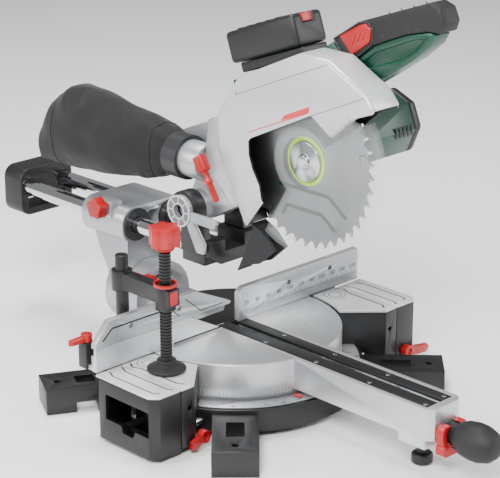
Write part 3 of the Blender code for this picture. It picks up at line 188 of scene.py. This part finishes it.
PAINT = {
    # die-cast aluminium under black powder coat: a fine orange peel, paler where edges rub
    "black_paint": grained("die_cast_black_powder_coat", "0d0e0f", "090a0b", 0.4, 0.9, 0.05, worn="242527"),
    # injection-moulded ABS with a spark-eroded grain that keeps it matt; also laid inside the upper guard as
    # painted shade
    "black_plastic": grained("abs_black_and_painted_shade", "0f1011", "0a0b0c", 0.46, 0.6, 0.04, worn="222325"),
    # soft overmoulded elastomer, nearly without gloss
    "black_rubber": grained("elastomer_overmoulded_black", "131415", "0d0e0f", 0.62, 0.8, 0.06,
                            worn="1f2022"),
    # shot-blasted die-cast aluminium: a grey sparkle
    "silver_cast": grained("aluminium_die_cast_blasted", "b4b6b9", "9c9ea1", 0.4, 0.7, 0.05, metallic=0.7,
                           worn="d4d6d8"),
    # pale metallic lacquer over a casting: smooth, slightly warm highlights
    "silver_paint": grained("silver_lacquer_sprayed", "c9cbcd", "bbbdbf", 0.34, 1.2, 0.02, metallic=0.25,
                            worn="e6e7e8", Coat_Weight=0.2),
    # ground table surface: straight fine scratches
    "table": grained("aluminium_table_ground", "c9cbcd", "babcbf", 0.34, 1.4, 0.02, metallic=0.7,
                     stretch=(0.08, 1, 1), worn="e2e3e4"),
    # turned steel: tight bright highlights
    "machined": grained("steel_turned_bright", "d6d8da", "c4c6c9", 0.22, 0.5, 0.01, metallic=1.0,
                        spread=0.05),
    # zinc-plated steel: a softer, greyer shine
    "steel": grained("steel_zinc_plated", "b5b7ba", "9fa1a4", 0.3, 0.6, 0.02, metallic=1.0, spread=0.06),
    # hard-chromed tube: a near mirror
    "chrome": grained("steel_tube_chromed", "e3e5e8", "d8dadd", 0.09, 3.0, 0.004, metallic=1.0, spread=0.03),
    # injection-moulded ABS, semi-gloss: saturated red with a soft sheen
    "red_plastic": grained("abs_moulded_red", "b0060d", "98040a", 0.34, 0.7, 0.03, worn="c42026"),
    # injection-moulded ABS, semi-gloss: deep green that darkens in the recesses
    "green_plastic": grained("abs_moulded_green", "063a29", "042f21", 0.33, 0.8, 0.03, worn="14543f"),
    "clear_plastic": clear_polycarbonate(),
    # anodised lime ring: a bright even accent
    "lime_print": grained("ring_anodised_lime", "a6d92a", "93c81f", 0.35, 1.0, 0.01),
    "bag_cloth": woven_polyester(),
    "blade": ground_saw_steel(),
    # printed inks, and painted shade in grooves, gaps, slots, sockets and recesses: flat and almost without
    # grain
    "black_print": grained("ink_black_and_painted_shade", "17181a", "101113", 0.5, 2.0, 0.005),
    "grey_print": grained("groove_shadow_grey", "6d6f72", "5f6164", 0.5, 2.0, 0.005),
    "red_print": grained("ink_printed_red", "d9353c", "cf2b33", 0.45, 2.0, 0.005),
    "green_print": grained("ink_printed_green", "04301f", "032517", 0.4, 2.0, 0.005),
    # matt white floor: no gloss, so that the shadows read softly
    "floor": grained("floor_matt_white", "fafafa", "f7f7f7", 0.9, 5.0, 0.01),
}

NODE_PAINT = {node["node"]: node["material_slot"] for node in frame["record"]["subparts"]}
BODY_OF = {node: body for body, nodes in frame["record"]["behaviour"]["bodies"].items() for node in nodes}


# ---- making pieces ----

PLANES = {
    "XY": Matrix(((1, 0, 0), (0, 1, 0), (0, 0, 1))),
    "XZ": Matrix(((1, 0, 0), (0, 0, 1), (0, 1, 0))),
    "YZ": Matrix(((0, 0, 1), (1, 0, 0), (0, 1, 0))),
}


def arc(centre, r, start, end, steps=16):
    """Points along a circle between two angles."""
    cu, cv = centre
    turns = [math.radians(start + (end - start) * k / steps) for k in range(steps + 1)]
    return [(cu + r * math.cos(t), cv + r * math.sin(t)) for t in turns]


def add_prism(bm, plane, outline, low, high):
    """A flat outline made solid between two levels."""
    turn = PLANES[plane]
    rings = [[bm.verts.new(at(*(turn @ Vector((u, v, w))))) for u, v in outline] for w in (low, high)]
    bm.faces.new(rings[0])
    bm.faces.new(list(reversed(rings[1])))
    n = len(outline)
    for k in range(n):
        bm.faces.new([rings[1][k], rings[1][(k + 1) % n], rings[0][(k + 1) % n], rings[0][k]])
    return bm


def add_box(bm, low, high):
    """A box between two corners."""
    outline = [(low[0], low[1]), (high[0], low[1]), (high[0], high[1]), (low[0], high[1])]
    return add_prism(bm, "XY", outline, low[2], high[2])


def add_rod(bm, start, end, r, r_end=None, sides=32):
    """A round bar or a cone between two points."""
    start, end = at(*start), at(*end)
    place = Matrix.Translation((start + end) / 2) @ Vector((0, 0, 1)).rotation_difference(
        end - start).to_matrix().to_4x4()
    bmesh.ops.create_cone(bm, cap_ends=True, segments=sides, radius1=r * MM,
                          radius2=(r if r_end is None else r_end) * MM, depth=(end - start).length,
                          matrix=place)
    return bm


def add_strip(bm, plane, points, width, low, high):
    """A line of even width along points."""
    for (u0, v0), (u1, v1) in zip(points, points[1:]):
        along = Vector((u1 - u0, v1 - v0)).normalized()
        side = Vector((-along.y, along.x)) * width / 2
        a, b = Vector((u0, v0)), Vector((u1, v1))
        add_prism(bm, plane, [tuple(a - side), tuple(b - side), tuple(b + side), tuple(a + side)], low, high)
    return bm


def piece(name, bm, paint, body, bevel=0.0, segments=2, smooth=True, replaced=()):
    """Make an object of a bmesh, round its edges, paint it and hang it on its body."""
    bmesh.ops.recalc_face_normals(bm, faces=bm.faces)
    mesh = bpy.data.meshes.new(name)
    bm.to_mesh(mesh)
    bm.free()
    return dress(mesh, name, paint, body, bevel, segments, smooth, replaced)


def dress(mesh, name, paint, body, bevel=0.0, segments=2, smooth=True, replaced=()):
    """Put a mesh in the scene with rounded edges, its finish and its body."""
    obj = bpy.data.objects.new(name, mesh)
    bpy.context.scene.collection.objects.link(obj)
    if bevel:
        rounder = obj.modifiers.new("round", "BEVEL")
        rounder.width = bevel * MM
        rounder.segments = segments
        rounder.limit_method = "ANGLE"
        rounder.angle_limit = math.radians(32)
        rounder.use_clamp_overlap = True
        rounder.harden_normals = False
        graph = bpy.context.evaluated_depsgraph_get()
        rounded = bpy.data.meshes.new_from_object(obj.evaluated_get(graph))
        obj.modifiers.clear()
        obj.data = rounded
    if smooth:
        obj.data.shade_smooth()
        obj.data.set_sharp_from_angle(angle=math.radians(38))
    obj.data.materials.clear()
    obj.data.materials.append(PAINT[paint])
    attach(obj, body)
    if replaced:
        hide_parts(*replaced)
    return obj


def refine(node, bevel=0.8, segments=2, paint=None, name=None):
    """The node's own shape with its flat faces cleaned and its edges rounded."""
    bm = bmesh.new()
    bm.from_mesh(frame["nodes"][node].data)
    bmesh.ops.remove_doubles(bm, verts=bm.verts, dist=0.00001)
    bmesh.ops.dissolve_limit(bm, angle_limit=math.radians(1.0), verts=bm.verts, edges=bm.edges)
    return piece(name or f"{node}_finished", bm, paint or NODE_PAINT[node], BODY_OF[node], bevel, segments,
                 replaced=(node,))


def lettering(name, words, size, place, turn):
    """Plain numbers laid flat on a face."""
    curve = bpy.data.curves.new(name, "FONT")
    curve.body = words
    curve.size = size * MM
    curve.align_x = "CENTER"
    curve.extrude = 0.0001
    holder = bpy.data.objects.new(name, curve)
    bpy.context.scene.collection.objects.link(holder)
    bpy.context.view_layer.update()
    graph = bpy.context.evaluated_depsgraph_get()
    mesh = bpy.data.meshes.new_from_object(holder.evaluated_get(graph))
    bpy.data.objects.remove(holder)
    mesh.transform(Matrix.Translation(at(*place)) @ turn)
    return mesh


def joined(name, meshes, paint, body):
    """Several flat meshes as one piece."""
    bm = bmesh.new()
    for mesh in meshes:
        bm.from_mesh(mesh)
    mesh = bpy.data.meshes.new(name)
    bm.to_mesh(mesh)
    bm.free()
    return dress(mesh, name, paint, body, smooth=False)


UPRIGHT = Matrix.Rotation(math.radians(90), 4, "X")


# ---- the nodes' own shapes, finished ----

KEPT = ("rail_left", "rail_right", "extension_rods_left", "extension_rods_right", "rail_bushing_left",
        "rail_bushing_right", "front_foot", "bag_collar", "deflector")
MADE_ANEW = {"dust_bag", "blade", "clamp_spindle"}
FINE = {"fence_left_lower": 0.5, "fence_left_upper": 0.6, "fence_right": 0.6, "kerf_insert_left": 0.4,
        "kerf_insert_right": 0.4, "mitre_scale": 0.4, "turntable": 0.8, "mitre_pointer": 0.3,
        "upper_guard": 1.4, "handle": 2.5, "handle_grip": 3.0, "motor_housing": 2.0, "motor_cap": 2.5,
        "battery_pack": 2.0, "base_casting": 1.0, "rear_cap": 3.0, "clamp_knob": 1.8, "trigger": 2.0,
        "table_plate_left": 0.5, "table_plate_right": 0.5, "lower_guard": 0.6, "slide_lock_knob": 1.5,
        "depth_screw": 0.6, "extension_left": 1.2, "extension_right": 1.2}
REPAINT = {"turntable": "table"}

for node_name in sorted(frame["nodes"]):
    if node_name in KEPT:
        shell = frame["nodes"][node_name]
        shell.data.materials.clear()
        shell.data.materials.append(PAINT[NODE_PAINT[node_name]])
        for face in shell.data.polygons:
            face.material_index = 0
    elif node_name not in MADE_ANEW:
        refine(node_name, FINE.get(node_name, 0.8), paint=REPAINT.get(node_name))


def line_guard():
    """The inside of the upper guard gets the black plastic finish as painted shade for its dark hollow."""
    guard = bpy.data.objects["upper_guard_finished"]
    guard.data.materials.append(PAINT["black_plastic"])
    hub = BLADE_CENTRE
    for face in guard.data.polygons:
        out = face.center - hub
        wall = abs(face.normal.x) > 0.9 and abs(out.x) < 0.0245 and out.x * face.normal.x < 0
        roof = abs(face.normal.x) < 0.3 and out.y * face.normal.y + out.z * face.normal.z < -0.03
        # inner walls and roof turn black: painted shade
        if wall or roof:
            face.material_index = 1


# ---- blade ----

def blade():
    """Ground disc with gullets, carbide tips, print and a ring in the bore."""
    centre = BLADE_YZ
    outline = []
    for k in range(TEETH):
        a = 360 / TEETH * k
        for turn_, r in ((0.0, 107.6), (1.3, 106.6), (1.9, 101.0), (3.4, 98.6), (5.0, 100.2), (7.6, 104.4)):
            t = math.radians(a + turn_)
            outline.append((centre[0] + r * math.cos(t), centre[1] + r * math.sin(t)))
    bm = add_prism(bmesh.new(), "YZ", outline, -0.8, 0.8)
    piece("blade_disc", bm, "blade", "blade", replaced=("blade",))
    tips = bmesh.new()
    for k in range(TEETH):
        t = math.radians(360 / TEETH * k)
        corner = []
        for turn_, r in ((-0.15, 107.9), (1.35, 106.9), (1.2, 101.5), (0.0, 101.5)):
            s = t + math.radians(turn_)
            corner.append((centre[0] + r * math.cos(s), centre[1] + r * math.sin(s)))
        add_prism(tips, "YZ", corner, -1.1, 1.1)
    piece("blade_carbide_tips", tips, "machined", "blade")
    ring = bmesh.new()
    add_ring(ring, centre, 25.4, 30.5, -1.7, -0.8)
    piece("blade_ring", ring, "lime_print", "blade")
    # black strips on the expansion slots: painted shade of the open slots
    slits = bmesh.new()
    for k in range(5):
        t = 72.0 * k + 20
        path = arc(centre, 88.0, t, t + 7, 6)
        out = [(centre[0] + r * math.cos(math.radians(t)), centre[1] + r * math.sin(math.radians(t)))
               for r in (99.0, 88.0)]
        add_strip(slits, "YZ", out + path, 1.1, -0.95, -0.75)
    piece("blade_expansion_slots", slits, "black_print", "blade", smooth=False)
    marks = bmesh.new()
    add_prism(marks, "YZ", arc(centre, 84, 62, 118, 16) + arc(centre, 58, 110, 70, 12), -0.95, -0.75)
    for lines in ([(-190, 186), (-160, 207), (-78, 207)], [(-172, 166), (-150, 182), (-92, 182), (-84, 168)]):
        add_strip(marks, "YZ", lines, 5.0, -0.95, -0.75)
    piece("blade_print", marks, "green_print", "blade", smooth=False)


def add_ring(bm, centre, r_in, r_out, low, high, plane="YZ", steps=64):
    """A flat ring between two levels."""
    turn = PLANES[plane]
    loops = []
    for r, w in ((r_in, low), (r_out, low), (r_out, high), (r_in, high)):
        spots = arc(centre, r, 0, 360, steps)[:-1]
        loops.append([bm.verts.new(at(*(turn @ Vector((u, v, w))))) for u, v in spots])
    for a in range(4):
        one, two = loops[a], loops[(a + 1) % 4]
        for k in range(steps):
            bm.faces.new([one[k], one[(k + 1) % steps], two[(k + 1) % steps], two[k]])
    return bm


# ---- fences and table ----

def fence_scale():
    """Ruler ticks every 2 mm, longer at 10 mm, and numbers every 20 mm."""
    ticks = bmesh.new()
    for mm in range(10, 228, 2):
        tall = 8.0 if mm % 10 == 0 else 4.5
        add_box(ticks, (mm - 0.25, -0.12, 9.0), (mm + 0.25, 0.05, 9.0 + tall))
    piece("fence_right_ticks", ticks, "black_print", "base", smooth=False)
    names = []
    for mm in range(20, 221, 20):
        names.append(lettering("number", str(mm), 8.2, (mm, -0.02, 19.5), UPRIGHT))
    joined("fence_right_numbers", names, "black_print", "base")
    face = bmesh.new()
    add_strip(face, "XZ", [(9, 7.2), (228, 7.2)], 0.4, -0.1, 0.05)
    piece("fence_right_rule", face, "black_print", "base", smooth=False)


def fence_print():
    """The black chevrons on the left fence, and painted shadow: a black strip in the gap between the lower
    fence and the table.
    """
    lines = bmesh.new()
    add_strip(lines, "XZ", [(-220, 37.5), (-205, 50.5), (-112, 50.5)], 2.2, -0.1, 0.05)
    add_strip(lines, "XZ", [(-112, 50.5), (-96, 36)], 1.4, -0.1, 0.05)
    add_strip(lines, "XZ", [(-86, 56), (-60, 34), (-22, 34)], 1.2, -0.1, 0.05)
    piece("fence_left_upper_print", lines, "black_print", "fence_slide", smooth=False)
    # painted shadow in the gap under the lower fence
    low = bmesh.new()
    add_strip(low, "XZ", [(-106, 2.0), (-26, 2.0)], 2.4, -0.1, 0.05)
    piece("fence_left_lower_gap_shadow", low, "black_print", "base", smooth=False)


def table_grooves():
    """Black strips as painted shade in the chevron grooves of the plates, hooked at their ends, and in the
    split between the plates.
    """
    for side, tag in ((-1, "left"), (1, "right")):
        # black strips: painted shade in the grooves
        grooves = bmesh.new()
        for points in ([(217, -8), (223, -20), (222, -92), (216, -98)],
                       [(196.5, -6), (203, -20), (202, -94), (197, -100)]):
            add_strip(grooves, "XY", [(side * u, v) for u, v in points], 1.9, -0.1, 0.06)
        piece(f"extension_groove_shade_{tag}", grooves, "black_print", f"extension_{tag}", smooth=False)
        fixed = bmesh.new()
        for points in ([(182, -5), (188, -16), (183, -27), (182, -90), (176, -98)],):
            add_strip(fixed, "XY", [(side * u, v) for u, v in points], 2.2, -0.1, 0.06)
        piece(f"table_grooves_{tag}", fixed, "black_print", "base", smooth=False)
        ring = bmesh.new()
        for r in (15, 9):
            add_ring(ring, (side * 165, -20), r - 1.0, r, -0.1, 0.06, plane="XY")
        piece(f"table_rings_{tag}", ring, "black_print", "base", smooth=False)


def screw_head(bm, place, axis, r, height=2.2):
    """A pan head; its six-sided socket is added by screws()."""
    axis = Vector(axis)
    place = Vector(place)
    add_rod(bm, place, place + axis * height, r, r * 0.82, sides=24)


def screws(name, body, spots, axis, r=3.4, paint="steel", height=2.0):
    """Pan-head screws at each spot, their sockets filled with black discs as painted shade."""
    bm = bmesh.new()
    for spot in spots:
        screw_head(bm, spot, axis, r, height)
    piece(name, bm, paint, body, bevel=0.3)
    shade_wells = bmesh.new()
    # black discs in the sockets: painted shade
    for spot in spots:
        spot, way = Vector(spot), Vector(axis)
        add_rod(shade_wells, spot + way * (height - 0.3), spot + way * (height + 0.04), r * 0.46, sides=6)
    piece(f"{name}_sockets", shade_wells, "black_print", body, smooth=False)


def insert_screws():
    """The screws that hold the kerf inserts down."""
    spots = [(x, y, -0.4) for y in (-333, -246, -159, -72) for x in (-16.5, 16.5)]
    screws("kerf_insert_screws", "turntable", spots, (0, 0, 1), 3.0, "steel", 0.7)


def mitre_marks():
    """Ticks and the main angles on the ring round the turntable."""
    ticks = bmesh.new()
    for deg in range(-50, 51, 1):
        t = math.radians(deg - 90)
        reach = 151.0 if deg % 5 == 0 else 147.0
        a = (143.0 * math.cos(t), 143.0 * math.sin(t))
        b = (reach * math.cos(t), reach * math.sin(t))
        add_strip(ticks, "XY", [a, b], 0.5, -45.75, -45.55)
    piece("mitre_scale_ticks", ticks, "black_print", "base", smooth=False)
    names = []
    for deg in (-45, -30, -22, -15, 0, 15, 22, 30, 45):
        t = math.radians(deg - 90)
        turn_ = Matrix.Rotation(math.radians(deg), 4, "Z")
        r = 158.5
        names.append(lettering("angle", str(abs(deg)), 6.5, (r * math.cos(t), r * math.sin(t), -45.6), turn_))
    joined("mitre_scale_numbers", names, "black_print", "base")


def skirt_lines():
    """Fine ribs round the turntable's skirt."""
    ribs = bmesh.new()
    for k in range(-62, 63, 2):
        if abs(k) < 13:
            continue
        t = math.radians(k - 90)
        x, y = 136.9 * math.cos(t), 136.9 * math.sin(t)
        add_rod(ribs, (x, y, -43), (x, y, -34), 0.5, sides=8)
    piece("turntable_ribs", ribs, "silver_cast", "turntable")


# ---- clamp ----

def clamp_spindle():
    """A trapezoidal thread between plain ends."""
    profile = [(0, 10.8), (4.4, 10.8), (4.4, 15.5), (6.6, 15.5)]
    z = 17.0
    while z < 150:
        profile += [(6.0, z), (7.4, z + 0.9), (7.4, z + 1.9), (6.0, z + 2.8)]
        z += 4.0
    profile += [(6.6, 152), (5, 154), (5, 172), (0, 172)]
    piece("clamp_screw_thread", add_lathe(bmesh.new(), profile, (*CLAMP_XY, 0), (0, 0, 1), 28), "black_paint",
          "clamp_spindle", replaced=("clamp_spindle",))


def add_lathe(bm, profile, place, axis, steps=48):
    """A profile of (radius, height) turned about an axis, its ends on the axis."""
    turn = Vector((0, 0, 1)).rotation_difference(Vector(axis)).to_matrix()
    loops = []
    for r, h in profile:
        if r < 1e-6:
            loops.append([bm.verts.new(at(*(Vector(place) + turn @ Vector((0, 0, h)))))])
            continue
        ring = []
        for k in range(steps):
            t = 2 * math.pi * k / steps
            spot = Vector((r * math.cos(t), r * math.sin(t), h))
            ring.append(bm.verts.new(at(*(Vector(place) + turn @ spot))))
        loops.append(ring)
    for one, two in zip(loops, loops[1:]):
        for k in range(steps):
            a, b = one[k % len(one)], one[(k + 1) % len(one)]
            c, d = two[(k + 1) % len(two)], two[k % len(two)]
            corners = list(dict.fromkeys([a, b, c, d]))
            if len(corners) > 2:
                bm.faces.new(corners)
    return bm


def clamp_trim():
    """The red inset and the red collar on the clamp's arm."""
    inset = bmesh.new()
    add_box(inset, (-171, -67.6, 88), (-159, -66.4, 105))
    piece("clamp_arm_label", inset, "red_plastic", "clamp_arm", bevel=0.5)
    collar = bmesh.new()
    add_ring(collar, CLAMP_XY, 12.0, 14.4, 109.0, 113.0, plane="XY")
    piece("clamp_arm_collar", collar, "red_plastic", "clamp_arm", bevel=0.5)


# ---- head trim ----

def guard_trim():
    """Panel lines, the lacquered band and the arrow on the guard's face."""
    x = GUARD_FACE
    # grey strips: painted shade in the panel-line grooves and along the arrow
    lines = bmesh.new()
    add_strip(lines, "YZ", [(-29, 312), (-104, 344), (-180, 376)], 0.9, x - 0.12, x + 0.05)
    add_strip(lines, "YZ", [(-29, 312), (-31, 317)], 0.9, x - 0.12, x + 0.05)
    add_strip(lines, "YZ", [(-156, 311), (-237, 347)], 0.9, x - 0.12, x + 0.05)
    add_strip(lines, "YZ", [(-214, 322), (-218, 300), (-208, 312)], 0.7, x - 0.12, x + 0.05)
    piece("upper_guard_groove_shade", lines, "grey_print", "head", smooth=False)
    band = bmesh.new()
    add_strip(band, "YZ", [(-52, 270), (-150, 313)], 1.3, x - 0.12, x + 0.05)
    add_prism(band, "YZ", [(-106, 295), (-112, 303), (-152, 321), (-152, 314)], x - 0.12, x + 0.05)
    piece("upper_guard_stripe", band, "red_print", "head", smooth=False)


def arm_fins():
    """Cooling fins cast on the head arm's left side."""
    fins = bmesh.new()
    for k in range(6):
        y = -14 + 9 * k
        z = 178 + 7.5 * k
        add_strip(fins, "YZ", [(y, z - 14), (y + 22, z + 6)], 1.4, -17.0, -15.8)
    piece("head_arm_fins", fins, "silver_cast", "head", bevel=0.3)


def stop_lattice():
    """Cast ribs inside the depth stop's ring."""
    y, z = PIVOT_YZ
    x = -54.6
    ribs = bmesh.new()
    for k in range(8):
        t = math.radians(45 * k)
        add_strip(ribs, "YZ", [(y + 9.4 * math.cos(t), z + 9.4 * math.sin(t)),
                               (y + 19 * math.cos(t), z + 19 * math.sin(t))], 1.2, x - 0.8, x + 0.4)
    add_ring(ribs, (y, z), 18.4, 20.6, x - 0.8, x + 0.4)
    add_ring(ribs, (y, z), 8.8, 10.6, x - 0.8, x + 0.4)
    piece("depth_stop_ribs", ribs, "silver_paint", "depth_stop", bevel=0.2)
    # grey floor between the ribs: painted shade in the wells
    shade_wells = bmesh.new()
    add_ring(shade_wells, (y, z), 10.8, 18.2, x - 0.15, x + 0.3)
    piece("depth_stop_well_shade", shade_wells, "grey_print", "depth_stop", smooth=False)


def motor_trim():
    """Vent slots on the motor."""
    slots = bmesh.new()
    for k in range(5):
        x = 96 + 7 * k
        add_strip(slots, "YZ", [(-179, 276), (-179, 262)], 0.8, x, x + 3.4)
    piece("motor_vents", slots, "black_plastic", "head")


def grip_trim():
    """Black strips as painted shade in the grooved bands across the soft grip and in the thumb recesses, and
    the ridges of the red pad.
    """
    # black strips and discs: painted shade
    bands = bmesh.new()
    for k in range(4):
        y, z = -232 - 18 * k, 436 + 6.6 * k
        bow = arc((y + 30, z - 14), 32, 190 - 40, 190 - 6, 6)
        add_strip(bands, "YZ", bow, 1.6, 19.85, 20.05)
    piece("handle_grip_groove_shade", bands, "black_print", "head", smooth=False)
    shade_wells = bmesh.new()
    for y, z in ((-221, 408), (-259, 421)):
        add_rod(shade_wells, (20.02, y, z), (19.9, y, z), 3.4, sides=20)
    piece("handle_grip_recess_shade", shade_wells, "black_print", "head", smooth=False)
    ridges = bmesh.new()
    for k in range(3):
        y = -176 - 7.5 * k
        add_strip(ridges, "YZ", [(y, 391 + 4 * k), (y - 5, 404 + 3.2 * k)], 1.6, 17.0, 18.4)
    piece("lock_off_pad_ridges", ridges, "red_plastic", "lock_off_pad", bevel=0.5)
    surround = bmesh.new()
    outline = [(-146, 393), (-185, 418.3), (-198, 420.5), (-206.5, 413), (-204.5, 396), (-186, 380),
               (-170, 370.5), (-163, 371)]
    for (u0, v0), (u1, v1) in zip(outline, outline[1:] + outline[:1]):
        add_rod(surround, (20.2, u0, v0), (20.2, u1, v1), 1.2, sides=10)
    piece("lock_off_pad_rim", surround, "black_plastic", "head")


def battery_trim():
    """Moulded ribs across the top of the battery."""
    turn = Matrix.Rotation(math.radians(-20), 4, "X")
    y, z = BATTERY_YZ
    centre = at(62, y, z)
    ribs = bmesh.new()
    for k in range(5):
        start = y - 34 + 17 * k
        add_box(ribs, (40, start, z + 55.2), (86, start + 6, z + 57.2))
    bmesh.ops.transform(ribs, matrix=Matrix.Translation(centre) @ turn @ Matrix.Translation(-centre),
                        verts=ribs.verts)
    piece("battery_pack_ribs", ribs, "black_rubber", "battery_pack", bevel=0.8)


# ---- dust bag ----

def bag_sections():
    """Half widths, bottoms and tops of the bag along its length."""
    return [(100, 22, 186, 230), (118, 27, 172, 238), (150, 30, 160, 245), (200, 32, 154, 252),
            (250, 33, 149, 259), (300, 33, 145, 262), (335, 32, 143, 238), (360, 28, 143, 190)]


def dust_bag():
    """A slack cloth bag: a loft of rounded sections, blown up a little so that it wrinkles and sags."""
    bm = bmesh.new()
    rings = []
    steps = 40
    for y, half, bottom, top in bag_sections():
        ring = []
        for k in range(steps):
            t = 2 * math.pi * k / steps
            c, s = math.cos(t), math.sin(t)
            u = math.copysign(abs(c) ** 0.55, c)
            v = math.copysign(abs(s) ** 0.55, s)
            ring.append(bm.verts.new(at(-3 + half * u, y, (bottom + top) / 2 + (top - bottom) / 2 * v)))
        rings.append(ring)
    for one, two in zip(rings, rings[1:]):
        for k in range(steps):
            bm.faces.new([one[k], one[(k + 1) % steps], two[(k + 1) % steps], two[k]])
    bm.faces.new(rings[0])
    bm.faces.new(list(reversed(rings[-1])))
    bmesh.ops.recalc_face_normals(bm, faces=bm.faces)
    mesh = bpy.data.meshes.new("dust_bag_cloth")
    bm.to_mesh(mesh)
    bm.free()
    obj = bpy.data.objects.new("dust_bag_cloth", mesh)
    bpy.context.scene.collection.objects.link(obj)
    remesh = obj.modifiers.new("even", "REMESH")
    remesh.mode = "VOXEL"
    remesh.voxel_size = 0.005
    graph = bpy.context.evaluated_depsgraph_get()
    obj.data = bpy.data.meshes.new_from_object(obj.evaluated_get(graph))
    obj.modifiers.clear()
    inflate(obj)
    wrinkle(obj)
    soften = obj.modifiers.new("soften", "SUBSURF")
    soften.levels = soften.render_levels = 1
    graph = bpy.context.evaluated_depsgraph_get()
    obj.data = bpy.data.meshes.new_from_object(obj.evaluated_get(graph))
    obj.modifiers.clear()
    obj.data.shade_smooth()
    obj.data.materials.clear()
    obj.data.materials.append(PAINT["bag_cloth"])
    bag_seams(obj)
    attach(obj, "dust_bag")
    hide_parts("dust_bag")


def bag_seams(obj):
    """Piping sewn round the bag, laid on the finished cloth."""
    tree = BVHTree.FromObject(obj, bpy.context.evaluated_depsgraph_get())
    seams = bmesh.new()
    for y in (128, 318):
        spots = []
        for k in range(36):
            t = math.radians(10 * k)
            start = at(-3 + 90 * math.cos(t), y, 200 + 90 * math.sin(t))
            hit = tree.ray_cast(start, (at(-3, y, 200) - start).normalized())[0]
            spots.append((hit - SWIVEL) / MM)
        for one, two in zip(spots, spots[1:] + spots[:1]):
            add_rod(seams, one, two, 1.1, sides=8)
    piece("dust_bag_piping", seams, "bag_cloth", "dust_bag")


def inflate(obj):
    """Let the cloth swell under a little pressure, then cap how far each point went."""
    before = [v.co.copy() for v in obj.data.vertices]
    held = obj.vertex_groups.new(name="held")
    near = [v.index for v in obj.data.vertices if v.co.y < at(0, 112, 0).y]
    held.add(near, 1.0, "REPLACE")
    cloth = obj.modifiers.new("cloth", "CLOTH")
    cloth.settings.effector_weights.gravity = 0.0
    cloth.settings.use_pressure = True
    cloth.settings.uniform_pressure_force = 3.0
    cloth.settings.quality = 5
    cloth.settings.mass = 0.2
    cloth.settings.vertex_group_mass = "held"
    cloth.settings.bending_stiffness = 0.2
    scene = bpy.context.scene
    for step in range(1, 17):
        scene.frame_set(step)
    graph = bpy.context.evaluated_depsgraph_get()
    swollen = bpy.data.meshes.new_from_object(obj.evaluated_get(graph))
    obj.modifiers.clear()
    for vert, old, new in zip(obj.data.vertices, before, swollen.vertices):
        move = new.co - old
        if move.length > 0.006:
            move = move.normalized() * 0.006
        vert.co = old + move
    scene.frame_set(1)


def wrinkle(obj):
    """Slack folds that run from the neck and across the belly."""
    neck = at(-3, 90, 208)
    for vert in obj.data.vertices:
        along = (vert.co.y - neck.y) / MM
        spread = min(1.0, max(0.0, (along - 8) / 60))
        angle = math.atan2(vert.co.z - neck.z, vert.co.x - neck.x)
        fold = math.sin(angle * 9 + along * 0.02) * 1.6 * (1 - min(1.0, along / 110))
        ripple = noise.noise(Vector((vert.co.x * 14, vert.co.y * 22, vert.co.z * 30)))
        deep = noise.noise(Vector((3.0, vert.co.y * 9 + vert.co.z * 16, 1.0)))
        out = Vector((vert.co.x - neck.x, 0, vert.co.z - at(0, 0, 200).z))
        if out.length > 1e-6:
            out.normalize()
        vert.co += out * (fold + spread * (ripple * 2.6 + deep * 2.4) - 1.5) * MM


# ---- stage, light and camera ----

def stage():
    """A plain pale floor."""
    bm = bmesh.new()
    bmesh.ops.create_grid(bm, x_segments=1, y_segments=1, size=6.0)
    mesh = bpy.data.meshes.new("floor")
    bm.to_mesh(mesh)
    bm.free()
    floor = bpy.data.objects.new("floor", mesh)
    floor.location.z = -0.0006
    bpy.context.scene.collection.objects.link(floor)
    mesh.materials.append(PAINT["floor"])


def lamp(name, place, target, size, power):
    """A soft square lamp aimed at a target."""
    light = bpy.data.lights.new(name, "AREA")
    light.size = size
    light.energy = power
    holder = bpy.data.objects.new(name, light)
    bpy.context.scene.collection.objects.link(holder)
    holder.location = place
    holder.rotation_euler = (Vector(place) - Vector(target)).to_track_quat("Z", "Y").to_euler()


def light():
    """An even studio: a pale surround and four soft lamps."""
    world = bpy.data.worlds.new("studio")
    bpy.context.scene.world = world
    world.use_nodes = True
    back = world.node_tree.nodes["Background"]
    back.inputs["Color"].default_value = (1.0, 1.0, 1.0, 1.0)
    back.inputs["Strength"].default_value = 0.3
    middle = (0.0, 0.0, 0.2)
    lamp("key", (-1.6, -1.2, 2.0), middle, 0.9, 88)
    lamp("side", (-2.0, 0.9, 1.2), middle, 0.9, 36)
    lamp("fill", (1.6, -1.8, 1.2), middle, 1.4, 40)
    lamp("top", (0.1, 0.5, 2.4), middle, 1.0, 58)


def camera():
    """A long lens from the front left, a little above the saw."""
    lens = bpy.data.cameras.new("camera")
    lens.sensor_width = 36.0
    lens.lens = 132.74
    lens.shift_x = 0.0070
    lens.shift_y = -0.0033
    lens.clip_end = 50
    holder = bpy.data.objects.new("camera", lens)
    bpy.context.scene.collection.objects.link(holder)
    azimuth, elevation = math.radians(-44.32), math.radians(19.31)
    back = Vector((math.sin(azimuth) * math.cos(elevation), -math.cos(azimuth) * math.cos(elevation),
                   math.sin(elevation)))
    holder.location = at(-1521.8, -1579.0, 884.5)
    holder.rotation_euler = back.to_track_quat("Z", "Y").to_euler()
    bpy.context.scene.camera = holder


line_guard()
blade()
fence_scale()
fence_print()
table_grooves()
insert_screws()
mitre_marks()
skirt_lines()
clamp_spindle()
clamp_trim()
guard_trim()
arm_fins()
stop_lattice()
motor_trim()
grip_trim()
battery_trim()
dust_bag()
stage()
light()
camera()

bpy.context.view_layer.update()
